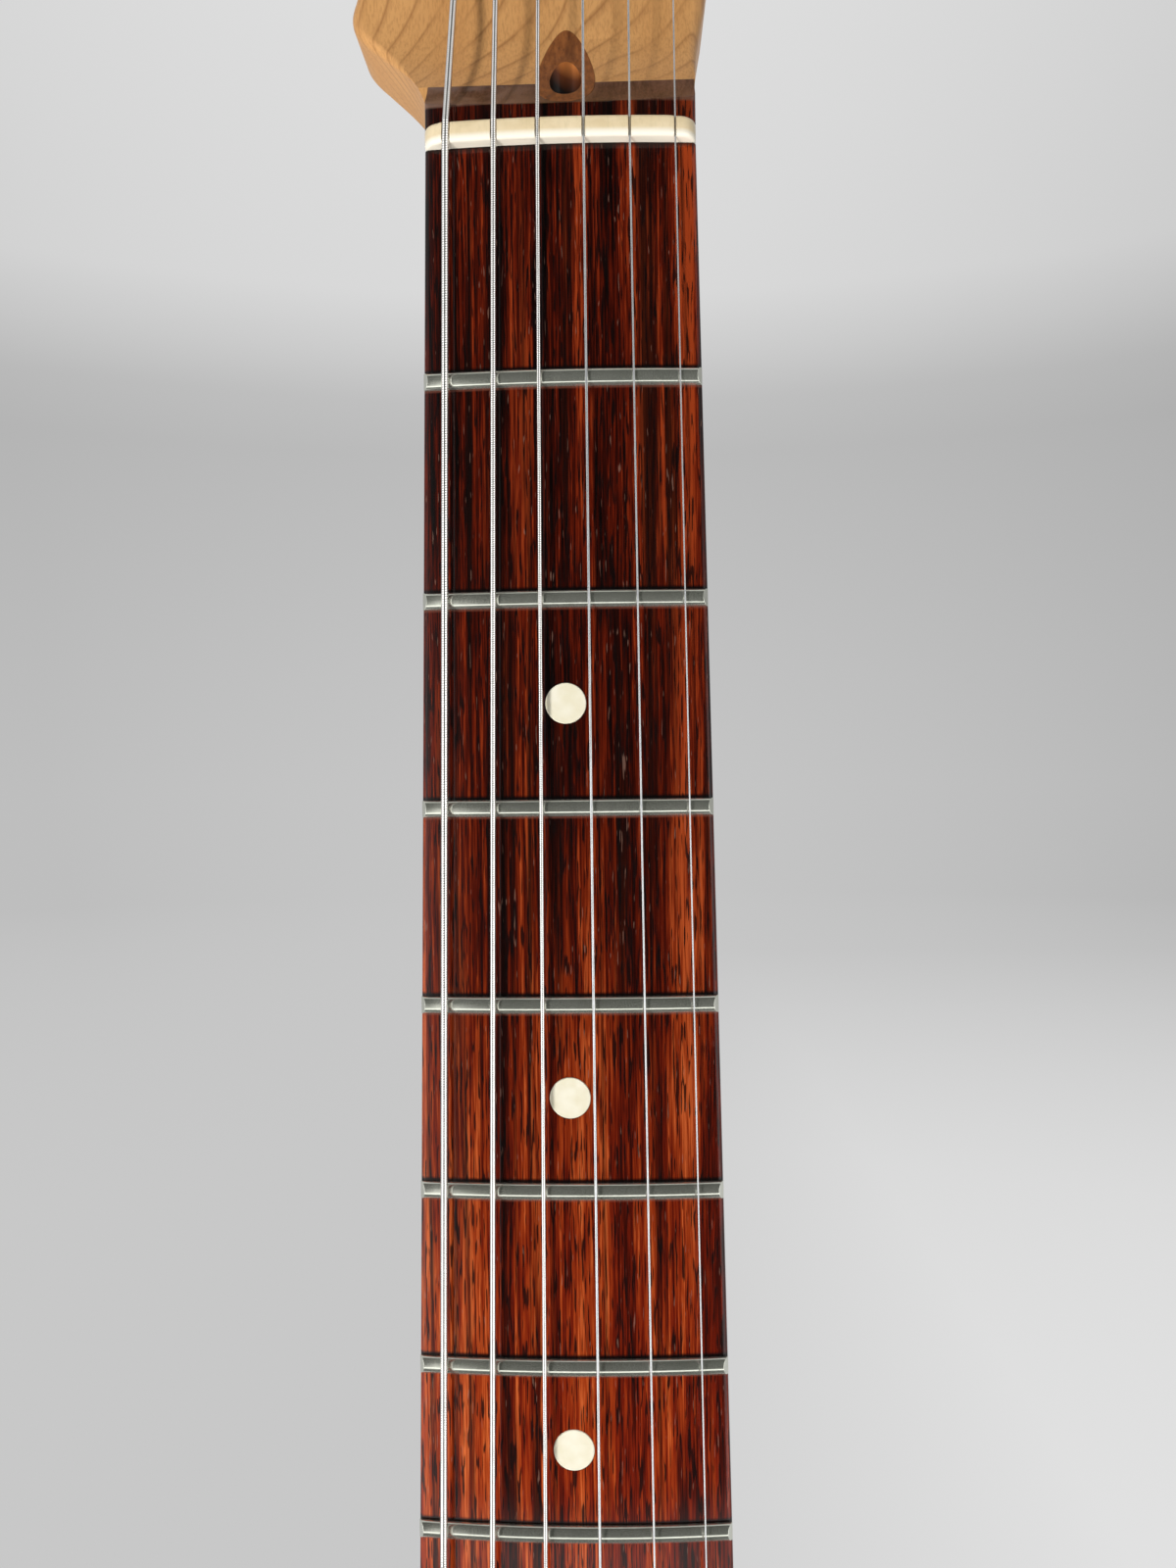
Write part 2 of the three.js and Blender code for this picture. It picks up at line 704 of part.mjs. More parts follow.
function boardSolid() {
  const heights = [
    boardEnd,
    ...spread(boardEnd, boardEnd + heelCornerRound, 4),
    ...spread(boardEnd + heelCornerRound, 0, 3),
    glueLineEnd + headBoardReach,
  ];
  const frets = Array.from({ length: fretCount }, (_, i) => fretSlot(i + 1));
  const dots = inlays.map(({ x, fret }) => solidOf(inlayGeometry(x, inlayHeight(fret), inlayGap)));
  return without(solidOf(ringSolid(heights.map(boardSection))), [
    ...frets,
    ...dots,
    nutSeat(),
    frontCutter(),
    plugBore(plugDiameter + inlayGap * 2),
    nutBore(),
    channelCutter(channelWidth, false, 0),
  ]);
}

// Strings
function stringAt(index, z) {
  const diameter = stringDiameters[index];
  const atNut = stringsAtNut[index];
  if (z > 0) {
    const post = postAt(index);
    const share = Math.min(z / post.z, 1);
    return { x: lerp(atNut, post.x + wrapRadius(diameter), share) };
  }
  const x = lerp(atNut, stringsAtBridge[index], -z / scaleLength);
  const overOctave = fretHeight + stringOverOctaveFret;
  const lift = lerp(stringOverBoardAtNut, overOctave, -z / octaveDistance);
  return { x, depth: crownDrop(x) - lift - diameter / 2 };
}

function wrapRadius(diameter) {
  return postWaist / 2 + wrapClearance + diameter / 2;
}

// The wraps, from the lowest, which the string comes to from the nut, to the highest
function wrapPoints(index) {
  const diameter = stringDiameters[index];
  const post = postAt(index);
  const radius = wrapRadius(diameter);
  const pitch = diameter + wrapSpacing;
  return Array.from({ length: wrapTurns * wrapSteps + 1 }, (_, i) => {
    const turn = i / wrapSteps;
    const angle = wholeTurn * turn;
    const depth = wrapTop + diameter / 2 + pitch * (wrapTurns - turn);
    return at(post.x + radius * Math.cos(angle), depth, post.z + radius * Math.sin(angle));
  });
}

// The least gap between turns of a wound string that lie at least half a turn apart
function leastGap(points, diameter) {
  const apart = wrapSteps / 2;
  let least = Infinity;
  points.forEach((point, i) => {
    points.slice(i + apart).forEach((other) => {
      least = Math.min(least, point.distanceTo(other) - diameter);
    });
  });
  return least;
}

const underTree = (index) => index >= tunerCount - 2;

function stringLine(index) {
  const diameter = stringDiameters[index];
  const end = boardEnd - stringPastHeel;
  const [low, nut, beyondNut] = [end, 0, nutThickness].map((z) => stringAt(index, z));
  const points = [
    at(low.x, low.depth, end),
    at(nut.x, nut.depth, 0),
    at(beyondNut.x, nut.depth, nutThickness),
  ];
  if (underTree(index)) {
    const depth = tree.depthUnderWing + seatGap + diameter / 2;
    for (const side of [-1, 1]) {
      const z = tree.z + (side * tree.width) / 2;
      points.push(at(stringAt(index, z).x, depth, z));
    }
  }
  return points;
}

// The ring of metal in which a string ends, lying across the string
function ballEnd(index) {
  const z = boardEnd - stringPastHeel - ballDiameter / 2;
  const { x, depth } = stringAt(index, boardEnd - stringPastHeel);
  const profile = [
    [ballBore, -ballWidth],
    [ballDiameter, -ballWidth],
    [ballDiameter, ballWidth],
    [ballBore, ballWidth],
    [ballBore, -ballWidth],
  ].map(([across, along]) => new THREE.Vector2(across / 2, along / 2));
  const ball = bareLathe(profile, ballSides);
  ball.rotateZ(quarterTurn);
  return solidOf(ball.translate(x, depth, z));
}

function stringSolid(index) {
  const diameter = stringDiameters[index];
  const end = boardEnd - stringPastHeel;
  const wraps = wrapPoints(index);
  console.log(`string ${index + 1} wraps: least gap ${leastGap(wraps, diameter).toFixed(2)} mm`);
  const line = tubeThrough([...stringLine(index), ...wraps], diameter / 2, stringSides);
  const [low, high] = [end, end + ballTwistLength].map((z) => stringAt(index, z));
  const twist = rodBetween(
    at(low.x, low.depth, end - ballTwistWall),
    at(high.x, high.depth, end + ballTwistLength),
    diameter / 2 + ballTwistWall,
    stringSides,
  );
  return joined([solidOf(line), ballEnd(index), solidOf(twist)]);
}

// Nut, with a round-bottomed slot under each string
function nutSolid() {
  const half = nutWidth / 2 - nutEdgeRound;
  const topAt = (x) => crownDrop(x) - nutStand + nutEdgeRound;
  const shape = new THREE.Shape();
  const round = nutEndRound - nutEdgeRound;
  const bottom = nutSlotDepth - nutEdgeRound - nutFit;
  shape.moveTo(-half, bottom);
  shape.lineTo(half, bottom);
  shape.lineTo(half, topAt(half) + round);
  shape.quadraticCurveTo(half, topAt(half), half - round, topAt(half - round));
  for (const x of [half / 2, 0, -half / 2]) shape.lineTo(x, topAt(x));
  shape.lineTo(round - half, topAt(half - round));
  shape.quadraticCurveTo(-half, topAt(half), -half, topAt(half) + round);
  const body = new THREE.ExtrudeGeometry(shape, {
    depth: nutThickness - 2 * (nutEdgeRound + nutFit),
    bevelThickness: nutEdgeRound,
    bevelSize: nutEdgeRound,
    bevelSegments: 2,
    curveSegments: 3,
  });
  body.translate(0, 0, nutEdgeRound + nutFit);
  return without(solidOf(body), stringDiameters.map(nutSlot));
}

function nutSlot(diameter, index) {
  const radius = diameter / 2 + nutSlotClearance;
  const { x, depth } = stringAt(index, 0);
  const lean = stringAt(index, nutThickness).x - x;
  const round = Array.from({ length: nutSlotFacets + 1 }, (_, k) => {
    const angle = (k / nutSlotFacets) * Math.PI;
    return new THREE.Vector2(radius * Math.cos(angle), radius * Math.sin(angle));
  });
  const mouth = [-radius, radius].map((x) => new THREE.Vector2(x, -overrun));
  const cutter = new THREE.ExtrudeGeometry(new THREE.Shape([...mouth, ...round]), {
    depth: nutThickness + overrun,
    bevelEnabled: false,
  });
  cutter.translate(0, 0, -overrun / 2);
  cutter.rotateY(Math.atan2(lean, nutThickness));
  return solidOf(cutter.translate(x, depth, 0));
}

// Truss rod pieces
function rodGeometry() {
  const start = rodNut.top - rodNut.height / 2;
  const heights = [start, rodStraightEnd, ...spread(rodStraightEnd, rodEnd.z, 18)];
  return tubeThrough(heights.map(rodCentre), rodDiameter / 2, rodFacets);
}

const threadedBore = clearRadius(rodDiameter, threadClearance, boreSides) * 2;

function rodNutSolid() {
  const { top, height, diameter, socket, socketDepth } = rodNut;
  const bottom = top - height;
  const socketEnd = top - socketDepth;
  const socketCorners = socket / Math.cos(Math.PI / hexSides);
  return without(boreAlongRod(bottom, top, diameter, rodSides), [
    boreAlongRod(socketEnd, top + overrun, socketCorners, hexSides),
    boreAlongRod(bottom - overrun, socketEnd, threadedBore, boreSides),
  ]);
}

function anchorSolid() {
  const half = anchor.diameter / 2;
  const [low, high] = [anchor.z - half, anchor.z + half].map(rodCentre);
  const along = new THREE.Vector3().subVectors(high, low);
  const hole = rodBetween(low.clone().sub(along), high.clone().add(along), threadedBore / 2, boreSides);
  const [front, back] = [0, anchor.thickness].map((depth) => at(0, anchor.front + depth, anchor.z));
  return without(solidOf(rodBetween(front, back, half, rodSides)), [solidOf(hole)]);
}

// Tuners, in the row's own frame: z runs up the row of posts, x towards the treble side
function plateSolid() {
  const left = -plateBassReach;
  const right = plateTrebleReach;
  const low = -plateTailReach;
  const high = rowPitch * (tunerCount - 1) + plateHeadReach;
  const r = plateCornerRound;
  const shape = new THREE.Shape();
  shape.moveTo(left + r, low);
  shape.absarc(right - r, low + r, r, -quarterTurn, 0);
  shape.absarc(right - r, high - r, r, 0, quarterTurn);
  shape.absarc(left + r, high - r, r, quarterTurn, Math.PI);
  shape.absarc(left + r, low + r, r, Math.PI, Math.PI + quarterTurn);
  const holeRadius = clearRadius(postDiameter, runningClearance, boreSides);
  for (let i = 0; i < tunerCount; i += 1) {
    const hole = new THREE.Path();
    hole.absarc(0, rowPitch * i, holeRadius, 0, wholeTurn, true);
    shape.holes.push(hole);
  }
  const sheet = new THREE.ExtrudeGeometry(shape, {
    depth: plateThickness,
    bevelEnabled: false,
    curveSegments: boreSides / 2,
  });
  sheet.rotateX(quarterTurn);
  sheet.translate(0, plateBack, 0);
  const ears = Array.from({ length: tunerCount }, (_, i) => {
    const z = rowPitch * i + gearCentres;
    return [ear(z, wormHalfLength + earGap), ear(z, -wormHalfLength - earGap - earThickness)];
  });
  return joined([solidOf(sheet), ...ears.flat()]);
}

// An ear of the plate, round about the worm's shaft
function ear(z, x) {
  const foot = plateBack - plateThickness / 2 - wormDepth;
  const shape = new THREE.Shape();
  shape.moveTo(-earWidth / 2, foot);
  shape.lineTo(earWidth / 2, foot);
  shape.absarc(0, 0, earWidth / 2, 0, Math.PI);
  const hole = new THREE.Path();
  hole.absarc(0, 0, clearRadius(wormShaft, runningClearance, shaftSides), 0, wholeTurn, true);
  shape.holes.push(hole);
  const sheet = new THREE.ExtrudeGeometry(shape, {
    depth: earThickness,
    bevelEnabled: false,
    curveSegments: shaftSides / 2,
  });
  sheet.applyMatrix4(new THREE.Matrix4().makeBasis(at(0, 0, -1), at(0, 1, 0), at(1, 0, 0)));
  return solidOf(sheet.translate(x, wormDepth, z));
}

// Post and gear turn together about the post's axis
function gearGeometry() {
  const addendum = gearModule * addendumShare;
  const dedendum = gearModule * dedendumShare;
  const halfThickness = (Math.PI * gearModule) / 4 - gearBacklash / 2;
  const root = gearPitchRadius - dedendum;
  const outer = gearPitchRadius + addendum;
  const rootHalf = (halfThickness + dedendum * Math.tan(pressureAngle)) / gearPitchRadius;
  const tipHalf = (halfThickness - addendum * Math.tan(pressureAngle)) / outer;
  const twist = (gearWidth * wormLead) / (Math.PI * wormPitchDiameter) / gearPitchRadius;
  const tooth = [
    [root, -rootHalf],
    [outer, -tipHalf],
    [outer, tipHalf],
    [root, rootHalf],
  ];
  const rings = [-1, 1].map((face) => {
    const depth = wormDepth + (face * gearWidth) / 2;
    const centres = Array.from({ length: gearTeeth }, (_, i) => {
      return ((i + 1 / 2) / gearTeeth) * wholeTurn + (face * twist) / 2;
    });
    return centres.flatMap((centre) =>
      tooth.map(([radius, half]) => {
        const angle = centre + half;
        return at(radius * Math.sin(angle), depth, radius * Math.cos(angle));
      }),
    );
  });
  return ringSolid(rings);
}

function postSolid() {
  const radius = postDiameter / 2;
  const neckRadius = postWaist / 2;
  const collar = plateBack + collarLift;
  const gearBack = wormDepth + gearWidth / 2;
  const profile = [
    [0, postTop],
    [radius - postTaper / 2, postTop],
    [radius, postTop + postTaper / 2],
    [radius, postWaistFrom - postTaper],
    [neckRadius, postWaistFrom],
    [neckRadius, postWaistTo],
    [radius, postWaistTo + postTaper],
    [radius, collar],
    [collarDiameter / 2, collar],
    [collarDiameter / 2, gearBack - gearWidth / 2],
    [gearScrewDiameter / 2, gearBack - gearWidth / 2],
    [gearScrewDiameter / 2, gearBack + gearScrewHeight],
    [0, gearBack + gearScrewHeight],
  ].map(([r, y]) => new THREE.Vector2(r, y));
  const turned = facingOut(mergeVertices(bareLathe(profile, postFacets)));
  const slot = new THREE.BoxGeometry(postDiameter + overrun, postSlotDepth * 2, postSlotWidth);
  slot.translate(0, postTop, 0);
  return without(joined([solidOf(turned), solidOf(gearGeometry())]), [solidOf(slot)]);
}

function bareLathe(profile, facets) {
  const geometry = new THREE.LatheGeometry(profile, facets);
  geometry.deleteAttribute("normal");
  geometry.deleteAttribute("uv");
  return geometry;
}

// Worm, shaft, stem and button turn together about the worm's axis, which runs along x
function wormGeometry() {
  const halfAt = (radius) => {
    const rise = radius - wormPitchDiameter / 2;
    return wormLead / 4 - gearBacklash - rise * Math.tan(pressureAngle);
  };
  const buried = wormShaft / 2 - gearBacklash;
  const thread = [
    [buried, -halfAt(buried)],
    [wormTipRadius, -halfAt(wormTipRadius)],
    [wormTipRadius, halfAt(wormTipRadius)],
    [buried, halfAt(buried)],
  ];
  const steps = Math.round(wormTurns * wormSteps);
  const rings = Array.from({ length: steps + 1 }, (_, i) => {
    const turn = (i - steps / 2) / wormSteps;
    const [sin, cos] = [Math.sin(wholeTurn * turn), Math.cos(wholeTurn * turn)];
    return thread.map(([radius, along]) =>
      at(wormLead * turn + along, wormDepth + radius * sin, gearCentres - radius * cos),
    );
  });
  return ringSolid(rings);
}

function keySolid() {
  const shaftPiece = (from, to, diameter) => {
    const [start, end] = [from, to].map((x) => at(x, wormDepth, gearCentres));
    return solidOf(rodBetween(start, end, diameter / 2, shaftSides));
  };
  const tail = wormHalfLength + earGap + earThickness + shaftTail;
  const inButton = -buttonFrom - buttonRound;
  return joined([
    shaftPiece(tail, inButton, wormShaft),
    shaftPiece(stemLength - buttonFrom, inButton, stemDiameter),
    solidOf(wormGeometry()),
    buttonSolid(),
  ]);
}

function buttonSolid() {
  const oval = new THREE.Shape();
  const [halfLength, halfWidth] = [buttonLength, buttonWidth].map((size) => size / 2 - buttonRound);
  oval.absellipse(0, 0, halfLength, halfWidth, 0, wholeTurn);
  const button = new THREE.ExtrudeGeometry(oval, {
    depth: buttonThickness - 2 * buttonRound,
    bevelThickness: buttonRound,
    bevelSize: buttonRound,
    bevelSegments: 1,
    curveSegments: 6,
  });
  button.translate(0, 0, buttonRound - buttonThickness / 2);
  button.rotateX(quarterTurn);
  return solidOf(button.translate(-buttonFrom - buttonLength / 2, wormDepth, gearCentres));
}

// String tree: a pressed bar whose wings hold the two thinnest strings down
function treeSolid() {
  const reach = (stringAt(5, tree.z).x - stringAt(4, tree.z).x) / 2 + tree.overhang;
  const under = tree.depthUnderWing - seatGap;
  const low = under + treeWingDip;
  const top = under - tree.thickness;
  const inner = reach - tree.overhang;
  const shape = new THREE.Shape();
  shape.moveTo(-reach, low);
  shape.lineTo(tree.thickness / 2 - reach, low);
  shape.quadraticCurveTo(tree.thickness - reach, under, -inner, under);
  shape.lineTo(inner, under);
  shape.quadraticCurveTo(reach - tree.thickness, under, reach - tree.thickness / 2, low);
  shape.lineTo(reach, low);
  shape.quadraticCurveTo(reach, top, inner, top);
  shape.lineTo(-inner, top);
  shape.quadraticCurveTo(-reach, top, -reach, low);
  const bar = new THREE.ExtrudeGeometry(shape, {
    depth: tree.width,
    bevelEnabled: false,
    curveSegments: 4,
  });
  bar.translate(treeX, 0, tree.z - tree.width / 2);
  const onScrew = (from, to, radius) =>
    solidOf(rodBetween(at(treeX, from, tree.z), at(treeX, to, tree.z), radius, boreSides));
  const hub = onScrew(top + tree.thickness / 2, faceDepth - seatGap, tree.hub / 2);
  const bore = onScrew(top - overrun, faceDepth + overrun, treeScrew.shank / 2 + runningClearance);
  return without(joined([solidOf(bar), hub]), [bore]);
}

function treeScrewGeometry() {
  const under = tree.depthUnderWing - seatGap - tree.thickness - treeScrew.gap;
  const end = faceDepth + treeScrew.reach - rodClearance;
  const profile = [
    [0, under - treeScrew.headHeight],
    [treeScrew.head / 4, under - treeScrew.headHeight],
    [treeScrew.head / 2, under - treeScrew.headHeight / 3],
    [treeScrew.head / 2, under],
    [treeScrew.shank / 2, under],
    [treeScrew.shank / 2, end - treeScrew.shank],
    [0, end],
  ].map(([r, y]) => new THREE.Vector2(r, y));
  const geometry = mergeVertices(bareLathe(profile, postFacets));
  geometry.translate(treeX, 0, tree.z);
  return geometryOf(solidOf(facingOut(geometry)));
}

// Materials
const finish = (color, roughness, metalness) => () =>
  new THREE.MeshStandardMaterial({ color, roughness, metalness });
const maple = finish("#d0a068", 0.45, 0);
const rosewood = finish("#3a1a12", 0.5, 0);
const walnut = finish("#7a5236", 0.55, 0);
const bone = finish("#efe4bd", 0.4, 0);
const pearl = finish("#f3eedc", 0.35, 0);
const nickelSilver = finish("#a8a698", 0.3, 1);
const steel = finish("#9a9c9e", 0.35, 1);
const plated = finish("#b9bbbd", 0.25, 1);

// Assembly: the neck group's origin is the nut datum, the row group's origin is the first post
const guitarNeck = new THREE.Group();
const neckGroup = new THREE.Group();
neckGroup.position.set(0, -heelDepth, nutHeight);
guitarNeck.add(neckGroup);

function place(group, name, geometry, material) {
  const mesh = new THREE.Mesh(geometry, material());
  mesh.name = name;
  group.add(mesh);
}

place(neckGroup, "neck", geometryOf(neckSolid()), maple);
place(neckGroup, "fingerboard", geometryOf(boardSolid()), rosewood);
place(neckGroup, "nut", geometryOf(nutSolid()), bone);
place(neckGroup, "headstock_plug", geometryOf(plugSolid()), walnut);
place(neckGroup, "back_stripe", geometryOf(stripeSolid()), walnut);
place(neckGroup, "truss_rod", rodGeometry(), steel);
place(neckGroup, "truss_rod_nut", geometryOf(rodNutSolid()), steel);
place(neckGroup, "truss_rod_anchor", geometryOf(anchorSolid()), steel);

for (let fret = 1; fret <= fretCount; fret += 1) {
  place(neckGroup, `fret_${String(fret).padStart(2, "0")}`, fretGeometry(fret), nickelSilver);
}

for (const { name, x, fret } of inlays) {
  place(neckGroup, name, inlayGeometry(x, inlayHeight(fret), 0), pearl);
}

stringDiameters.forEach((_, index) => {
  place(neckGroup, `string_${index + 1}`, geometryOf(stringSolid(index)), steel);
});

const rowGroup = new THREE.Group();
rowGroup.position.set(firstPost.x, 0, firstPost.z);
rowGroup.rotation.y = rowTilt;
neckGroup.add(rowGroup);
place(rowGroup, "tuner_plate", geometryOf(plateSolid()), plated);

for (let index = 0; index < tunerCount; index += 1) {
  const tuner = new THREE.Group();
  tuner.position.z = rowPitch * index;
  rowGroup.add(tuner);
  place(tuner, `tuner_post_${index + 1}`, geometryOf(postSolid()), plated);
  place(tuner, `tuner_key_${index + 1}`, geometryOf(keySolid()), plated);
}

place(neckGroup, "string_tree", geometryOf(treeSolid()), plated);
place(neckGroup, "string_tree_screw", treeScrewGeometry(), plated);

export default guitarNeck;
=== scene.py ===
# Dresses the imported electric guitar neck: fine wood, bone and metal pieces over the CAD frame.
# Sizes are in millimetres from the nut datum (the board's crown at the nut's lower face):
# x to the treble side, depth towards the back, z up the neck. at() turns them into the frame's metres.

import json
import math

import bmesh
import bpy
from mathutils import Matrix, Vector

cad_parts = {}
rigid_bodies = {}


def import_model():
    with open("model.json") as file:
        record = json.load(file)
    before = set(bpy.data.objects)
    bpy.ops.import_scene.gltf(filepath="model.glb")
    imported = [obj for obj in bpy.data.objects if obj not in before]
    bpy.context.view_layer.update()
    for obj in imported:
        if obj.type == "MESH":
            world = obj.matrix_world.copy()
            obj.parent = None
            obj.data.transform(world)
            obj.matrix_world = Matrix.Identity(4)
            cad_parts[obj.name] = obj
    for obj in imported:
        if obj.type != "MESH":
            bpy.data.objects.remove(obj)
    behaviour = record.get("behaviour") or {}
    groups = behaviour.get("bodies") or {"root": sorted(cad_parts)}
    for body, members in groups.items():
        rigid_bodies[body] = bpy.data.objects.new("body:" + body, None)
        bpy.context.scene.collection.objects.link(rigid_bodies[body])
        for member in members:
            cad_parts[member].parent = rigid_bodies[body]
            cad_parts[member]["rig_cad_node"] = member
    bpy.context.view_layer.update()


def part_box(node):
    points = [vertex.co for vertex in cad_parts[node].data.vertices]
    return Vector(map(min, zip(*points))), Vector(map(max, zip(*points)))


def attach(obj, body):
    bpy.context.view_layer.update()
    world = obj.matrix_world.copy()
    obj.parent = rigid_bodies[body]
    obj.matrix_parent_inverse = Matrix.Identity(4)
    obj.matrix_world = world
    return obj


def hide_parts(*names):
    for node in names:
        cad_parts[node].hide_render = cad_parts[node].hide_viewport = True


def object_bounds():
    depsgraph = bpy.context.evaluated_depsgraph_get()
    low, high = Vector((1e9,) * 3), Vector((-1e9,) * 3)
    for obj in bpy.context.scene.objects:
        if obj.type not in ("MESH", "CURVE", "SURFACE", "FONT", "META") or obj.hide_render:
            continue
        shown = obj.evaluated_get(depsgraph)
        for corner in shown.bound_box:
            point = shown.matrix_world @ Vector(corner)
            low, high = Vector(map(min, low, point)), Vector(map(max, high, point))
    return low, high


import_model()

MM = 0.001
TURN = 2 * math.pi
QUARTER = math.pi / 2
SHARP_ANGLE = math.radians(32)

# Board, frets and dots
HEEL_DEPTH = 25.4
NUT_FIT = 0.04
NUT_WIDTH = 42.4
HEEL_WIDTH = 56.0
BOARD_RADIUS = 241.3
BOARD_THICKNESS = 4.8
BOARD_PAST_LAST_FRET = 7.0
BOARD_EDGE_ROLL = 0.8
BOARD_FEATHER = 0.02
SCALE_LENGTH = 647.7
FRET_COUNT = 21
FRET_WIDTH = 2.7
FRET_HEIGHT = 1.1
FRET_CROWN_POWER = 0.9
FRET_END_BEVEL = math.radians(35)
FRET_EDGE = 0.05
TANG_WIDTH = 0.5
TANG_DEPTH = 1.5
TANG_CLEARANCE = 0.05
SEAT_GAP = 0.03
INLAY_DIAMETER = 6.35
INLAY_GAP = 0.06
INLAY_DEPTH = 1.6
INLAY_STAND = 0.02
INLAY_EDGE = 0.12
OCTAVE_DOT_X = 12.0
DOT_FRETS = (3, 5, 7, 9, 12, 15, 17, 19, 21)
SIDE_DOT = {"diameter": 2.0, "depth": 3.1, "stand": 0.01, "octave_offset": 3.0}

# Nut
NUT_THICKNESS = 3.3
NUT_SLOT_DEPTH = 2.6
NUT_STAND = 2.2
NUT_EDGE_ROUND = 0.6
NUT_END_ROUND = 2.8
NUT_SLOT_CLEARANCE = 0.06
NUT_SLOT_EDGE = 0.05

# Strings, bass to treble
STRING_DIAMETERS = (1.17, 0.91, 0.66, 0.43, 0.33, 0.25)
STRINGS_AT_NUT = (-17.6, -10.1, -3.3, 3.8, 10.9, 17.9)
STRINGS_AT_BRIDGE = (-25.1, -17.4, -6.6, 4.1, 14.7, 24.4)
STRING_COUNT = len(STRING_DIAMETERS)
STRING_OVER_BOARD = 1.5
STRING_OVER_OCTAVE_FRET = 1.8
STRING_PAST_HEEL = 11.0
STRINGS_UNDER_TREE = (4, 5)
WINDING_PITCHES = (0.38, 0.34, 0.27)
WINDING_RIDGE_SHARE = 0.07
RIDGE_SHARES = (0, 0.87, 1, 0.87)
BALL = {"diameter": 3.8, "width": 3.2, "bore": 1.5, "edge": 0.3, "groove": 0.35}
BALL_TWIST = {"length": 9.0, "overlap": 0.3, "wall": 0.35, "pitch": 0.9, "ridge": 0.25}
WRAP = {"top": 2.5, "clearance": 0.12, "spacing": 0.45, "turns": 2.25}

# Neck shaft, heel and headstock
FIRST_FRET_DEPTH = 21.0
OCTAVE_FRET_DEPTH = 23.0
SHAFT_SIDE = 1.4
SHAFT_FLAT = 4.0
SHAFT_ROUNDNESS = 2.3
GLUE_LINE_EDGE = 0.05
HEEL_FLAT_LENGTH = 72.0
HEEL_RAMP_LENGTH = 40.0
HEEL_EDGE_ROUND = 1.6
HEEL_CORNER_ROUND = 3.2
HEEL_SCREWS = {"span_x": 38.1, "span_z": 50.8, "to_end": 12.7, "diameter": 3.2, "depth": 16.0}
FACE_DEPTH = 10.0
HEAD_THICKNESS = 14.3
HEAD_EDGE_ROUND = 2.0
SWEEP_RADIUS = 33.0
SWEEP_TOP = 30.0
HEAD_BLEND_FROM = -14.0
HEAD_BLEND_TO = 15.0
FLARE_START = 6.0
SHOULDER = (-34.0, 30.6)
SHOULDER_TURN = (-31.0, 21.6)
WAIST = (23.3, 27.0)
TREBLE_CHEEK = (32.0, 140.0)
TIP = (21.5, 188.0)
BASS_EDGE_END = 171.0

# Truss rod and its hole
ROD_TILT = math.radians(2)
ROD_X = 0.8
ROD_DEPTH = 5.0
ROD_HEIGHT = 14.0
ROD_BOW = 4.8
ROD_DIAMETER = 4.76
ROD_CLEARANCE = 0.3
ROD_STRAIGHT_END = -22.0
ROD_END = {"z": -405.0, "depth": 9.9}
ROD_NUT_BORE = {"diameter": 7.4, "bottom": -26.0}
ACCESS_HOLE = 5.0
PLUG_DIAMETER = 9.4
PLUG_BOTTOM = -2.0
PLUG_SHELF = 4.0
CHANNEL = {"width": 6.4, "top": -21.0, "bottom": -408.0}
ANCHOR = {"diameter": 9.5, "thickness": 9.0, "z": -397.5, "front": 5.2}

# Tuners, in a row tilted from z towards the treble side
ROW_TILT = math.radians(16.5)
ROW_PITCH = 24.15
FIRST_POST = (-19.4, 44.0)
POST = {"diameter": 6.35, "waist": 5.5, "top": -1.6, "waist_from": 1.6, "waist_to": 7.6, "taper": 1.0}
POST_SLOT = {"width": 1.3, "depth": 3.2}
COLLAR = {"diameter": 7.0, "lift": 0.25}
PLATE = {"bass": 8.4, "treble": 7.8, "tail": 9.0, "head": 15.5, "thickness": 1.2, "round": 4.0}
PLATE_EDGE = 0.15
RUNNING_CLEARANCE = 0.08
GEAR_MODULE = 0.65
GEAR_TEETH = 14
GEAR_WIDTH = 3.2
GEAR_BACKLASH = 0.16
PRESSURE_ANGLE = math.radians(20)
ADDENDUM_SHARE = 0.92
DEDENDUM_SHARE = 1.15
WORM_ADDENDUM_SHARE = 0.9
WORM_PITCH_DIAMETER = 4.6
WORM_SHAFT = 3.0
WORM_TURNS = 3.0
WORM_HALF_LENGTH = 4.1
WORM_OVER_PLATE = 0.4
GEAR_SCREW = {"diameter": 4.6, "height": 1.1, "rim": 0.3, "rim_height": 0.25}
GEAR_SCREW_SLOT = {"width": 0.7, "depth": 0.6}
EAR = {"thickness": 1.2, "width": 6.4, "gap": 0.25}
SHAFT_TAIL = 0.7
BUTTON = {"from": 13.0, "length": 10.6, "width": 12.8, "thickness": 5.6, "round": 1.6, "power": 0.85}
STEM = {"diameter": 4.4, "length": 3.6}
BUSHING = {"diameter": 9.4, "height": 0.9, "edge": 0.35, "mouth": 0.3, "mouth_depth": 0.25}
TREE = {"z": 62.0, "width": 4.4, "thickness": 1.0, "under_wing": 4.3, "edge": 0.2}
TREE_SCREW = {"shank": 2.2, "reach": 10.0, "head": 4.4, "head_height": 1.3, "dome_share": 0.6, "gap": 0.05}
TREE_SCREW_CROSS = {"size": 2.42, "depth": 0.6}
PLATE_SCREW = {"head": 3.4, "height": 0.9}
PLATE_SCREW_CROSS = {"size": 2.04, "depth": 0.5}
PLATE_SCREW_STEPS = (-0.22, 0.5, 1.5, 2.5, 3.5, 4.5, 5.5)
CROSS_BAR_SHARE = 2 / 9

OVERRUN = 5.0
BACKWARD = Vector((0, 1, 0))
nut_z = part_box("nut")[0].z - NUT_FIT * MM


